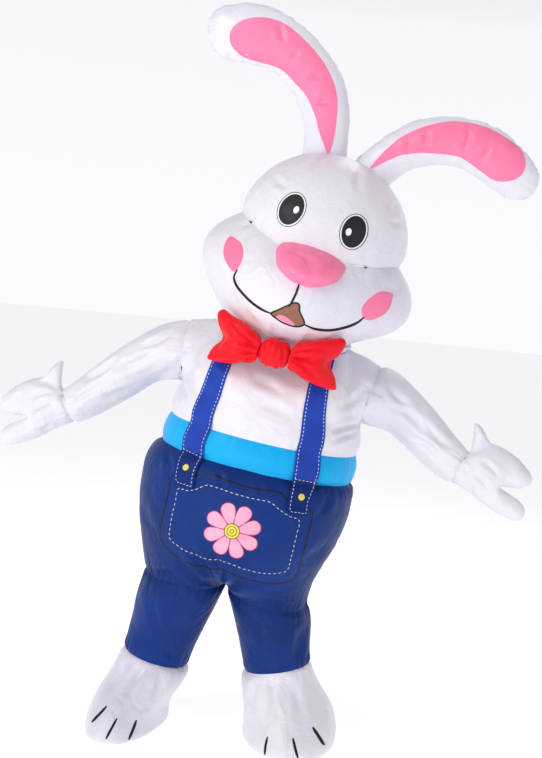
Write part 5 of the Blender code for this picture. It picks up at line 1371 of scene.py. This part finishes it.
class COSTUME_OT_straps(bpy.types.Operator):
    """Makes the shoulder straps with their stitched edges"""

    bl_idname = "costume.straps"
    bl_label = "Straps"

    def execute(self, context):
        f = finishes()
        sizes = context.scene.costume_sizes
        for side in ("right", "left"):
            for face in ("front", "back"):
                node = "strap_%s_%s" % (face, side)
                points, normals, quads = strap_sheet(node, 3)
                piece = shell_object("cloth_" + node, points, points - normals * STRAP_WALL, quads,
                                     f["strap_cloth"])
                give(piece, nodes=(node,))
                loop = rim_loops(quads)
                tree = point_tree(points)
                inward = []
                ups = []
                for k, index in enumerate(loop):
                    ahead = points[loop[(k + 3) % len(loop)]] - points[loop[k - 3]]
                    way = np.cross(normals[index], ahead)
                    way = way / max(np.linalg.norm(way), 1e-9)
                    inward.append(points[index] + way * STRAP_STITCH_INSET + normals[index] * 0.0002)
                    ups.append(normals[index])
                heights = from_world(points, "torso")[:, 2]
                tab_top = heights.min() + TAB_LENGTH if face == "front" else -9.0

                def seat(spots):
                    # sets points on the strap, or on the tab where it lies
                    seated = []
                    for spot in spots:
                        _, nearest, _ = tree.find(spot)
                        rise = 0.0004 + (TAB_LIFT if heights[nearest] < tab_top else 0.0)
                        off = float(np.dot(spot - points[nearest], normals[nearest]))
                        seated.append(spot - normals[nearest] * (off - rise))
                    return seated

                paths = [(seat(inward), ups, True)]
                if face == "front":
                    chosen = quads[(heights[quads] < tab_top).all(axis=1)]
                    used, flat = np.unique(chosen, return_inverse=True)
                    outer = points[used] + normals[used] * TAB_LIFT
                    inner = points[used] + normals[used] * PRINT_LIFT
                    piece = shell_object("print_strap_tab_" + side, outer, inner, flat.reshape(-1, 4),
                                         f["strap_tab_cloth"])
                    give(piece)
                    hem = np.where(np.abs(heights - tab_top + TAB_HEM) < 0.008)[0]
                    local = from_world(points[hem], "torso")
                    order = hem[np.argsort(local[:, 0])]
                    ends = points[order[0]], points[order[-1]]
                    across = [ends[0] * (1.0 - t) + ends[1] * t for t in np.linspace(0.12, 0.88, 9)]
                    paths.append((seat(across), [normals[tree.find(spot)[1]] for spot in across], False))
                piece = along_paths("stitches_" + node, paths, stitch_tree(), f["stitch_thread"],
                                    sizes.stitch_pitch * 0.9, sizes.stitch_length * 0.9, STITCH_WIDTH)
                give(piece)
        return {"FINISHED"}


# Feet, zip, fan, buttons

class COSTUME_OT_feet(bpy.types.Operator):
    """Makes the soles and prints the toe lines"""

    bl_idname = "costume.feet"
    bl_label = "Feet"

    def execute(self, context):
        f = finishes()
        for side in ("right", "left"):
            node = "foot_%s_sole" % side
            piece = plain_copy(node, f["white_cloth"])
            give(piece, nodes=(node,))
        for number, (side, *path) in enumerate(TOE_LINES):
            name = "print_toe_%s_%d" % (side, number % 3 + 1)
            piece = line(name, path, "world", f["print_dark"], LINE_WIDTH, taper=0.5)
            give(piece)
        return {"FINISHED"}


class COSTUME_OT_back_trim(bpy.types.Operator):
    """Finishes the zip, its teeth, the fan housing and the buttons"""

    bl_idname = "costume.back_trim"
    bl_label = "Zip, fan and buttons"

    def execute(self, context):
        f = finishes()
        for side in ("right", "left"):
            node = "zip_tape_" + side
            piece = plain_copy(node, f["zip_tape_cloth"])
            give(piece, nodes=(node,))
        tapes = {}
        for side in ("right", "left"):
            solid = merged("zip_tape_" + side)
            tapes[side] = BVHTree.FromBMesh(solid)
            solid.free()
        teeth = bpy.data.node_groups.get("zip_teeth") or path_tree("zip_teeth", ("GeometryNodeMeshCube", {}))
        paths = []
        for side, x in (("right", -TOOTH_ROW_X), ("left", TOOTH_ROW_X)):
            places = []
            normals = []
            for h in np.arange(*TOOTH_HEIGHTS, 0.006):
                spot = to_world((x, 0.0, h), "torso")
                start = Vector((spot[0], 1.0, spot[2]))
                place, normal, _, _ = tapes[side].ray_cast(start, Vector((0.0, -1.0, 0.0)))
                if place is not None:
                    places.append(np.array(place) + np.array(normal) * 0.0003)
                    normals.append(np.array(normal))
            paths.append((places, normals, False))
        pitch = context.scene.costume_sizes.tooth_pitch
        piece = along_paths("zip_teeth", paths, teeth, f["zip_metal"], pitch, pitch * 0.45, 0.0024)
        give(piece)
        finish_of_node = {
            "zip_slider": "zip_metal",
            "zip_pull": "zip_metal",
            "fan_housing": "fan_plastic",
            "button_right": "button_plastic",
            "button_left": "button_plastic",
        }
        for node, finish_name in finish_of_node.items():
            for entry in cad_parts[node].material_slots:
                entry.material = f[finish_name]
        return {"FINISHED"}


class COSTUME_OT_stage(bpy.types.Operator):
    """Sets the pale floor, the soft lights and the camera"""

    bl_idname = "costume.stage"
    bl_label = "Studio"

    def execute(self, context):
        paper = finish("studio_paper", (0.90, 0.90, 0.91), (0.92, 0.92, 0.925), 0.9, grain=(40.0, 0.02))
        shader = paper.node_tree.nodes["Principled BSDF"]
        shader.inputs["Emission Color"].default_value = (0.98, 0.98, 1.0, 1.0)
        shader.inputs["Emission Strength"].default_value = FLOOR_GLOW
        turns = np.linspace(0.0, math.tau, FLOOR_CORNERS, endpoint=False)
        points = [(FLOOR_REACH * math.cos(t), FLOOR_REACH * math.sin(t), FLOOR_Z) for t in turns]
        floor = mesh_object("studio_floor", points, [tuple(range(FLOOR_CORNERS))], paper)
        for name, place, size, power, colour in LAMPS:
            lamp = bpy.data.lights.new(name, "AREA")
            lamp.shape = "DISK"
            lamp.size = size
            lamp.energy = power
            lamp.color = colour
            holder = bpy.data.objects.new(name, lamp)
            holder.location = place
            way = Vector(LAMP_AIM) - Vector(place)
            holder.rotation_euler = way.to_track_quat("-Z", "Y").to_euler()
            context.scene.collection.objects.link(holder)
        world = bpy.data.worlds.new("studio_light")
        world.use_nodes = True
        tree = world.node_tree
        background = tree.nodes["Background"]
        background.inputs["Strength"].default_value = 1.0
        sky = add_node(tree, "ShaderNodeTexCoord", (-800, 0))
        split = add_node(tree, "ShaderNodeSeparateXYZ", (-600, 0))
        ramp = add_node(tree, "ShaderNodeValToRGB", (-400, 0))
        while len(ramp.color_ramp.elements) < len(SKY_ROWS):
            ramp.color_ramp.elements.new(0.5)
        for element, (height, level) in zip(ramp.color_ramp.elements, SKY_ROWS):
            element.position = height
            element.color = (level * 0.965, level * 0.965, level, 1.0)
        tree.links.new(sky.outputs["Generated"], split.inputs["Vector"])
        tree.links.new(split.outputs["Z"], ramp.inputs["Fac"])
        tree.links.new(ramp.outputs["Color"], background.inputs["Color"])
        context.scene.world = world
        context.scene.view_settings.view_transform = "Standard"
        lens = bpy.data.cameras.new("camera")
        lens.sensor_fit = "VERTICAL"
        lens.sensor_height = CAMERA_SENSOR
        lens.lens = CAMERA_LENS
        lens.clip_end = 60.0
        camera = bpy.data.objects.new("camera", lens)
        turn = Matrix((CAMERA_ACROSS, CAMERA_UP, CAMERA_BACK)).transposed().to_4x4()
        camera.matrix_world = Matrix.Translation(CAMERA_PLACE) @ turn
        context.scene.collection.objects.link(camera)
        context.scene.camera = camera
        return {"FINISHED"}


class COSTUME_OT_finishes(bpy.types.Operator):
    """Makes the cloth, print, thread, metal and plastic finishes"""

    bl_idname = "costume.finishes"
    bl_label = "Finishes"

    def execute(self, context):
        for material in make_finishes():
            material.use_fake_user = True
        return {"FINISHED"}


OPERATORS = (
    COSTUME_OT_finishes,
    COSTUME_OT_cloth,
    COSTUME_OT_ear_insets,
    COSTUME_OT_face,
    COSTUME_OT_nose,
    COSTUME_OT_bow,
    COSTUME_OT_pocket,
    COSTUME_OT_straps,
    COSTUME_OT_feet,
    COSTUME_OT_back_trim,
    COSTUME_OT_stage,
)


class COSTUME_PT_panel(bpy.types.Panel):
    """Lists the costume's making steps, sizes and colours"""

    bl_idname = "COSTUME_PT_panel"
    bl_label = "Rabbit costume"
    bl_space_type = "VIEW_3D"
    bl_region_type = "UI"
    bl_category = "Costume"

    def draw(self, context):
        for group in (context.scene.costume_sizes, context.scene.costume_colours):
            for key in group.bl_rna.properties.keys():
                if key not in ("rna_type", "name"):
                    self.layout.prop(group, key)
        for step in OPERATORS:
            self.layout.operator(step.bl_idname)


CLASSES = (CostumeSizes, CostumeColours) + OPERATORS + (COSTUME_PT_panel,)


def register():
    for item in CLASSES:
        bpy.utils.register_class(item)
    bpy.types.Scene.costume_sizes = PointerProperty(type=CostumeSizes)
    bpy.types.Scene.costume_colours = PointerProperty(type=CostumeColours)


def unregister():
    del bpy.types.Scene.costume_colours
    del bpy.types.Scene.costume_sizes
    for item in reversed(CLASSES):
        bpy.utils.unregister_class(item)


def main():
    register()
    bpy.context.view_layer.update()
    for step in OPERATORS:
        area, name = step.bl_idname.split(".")
        getattr(getattr(bpy.ops, area), name)()
    bpy.context.view_layer.update()


if __name__ == "__main__":
    main()
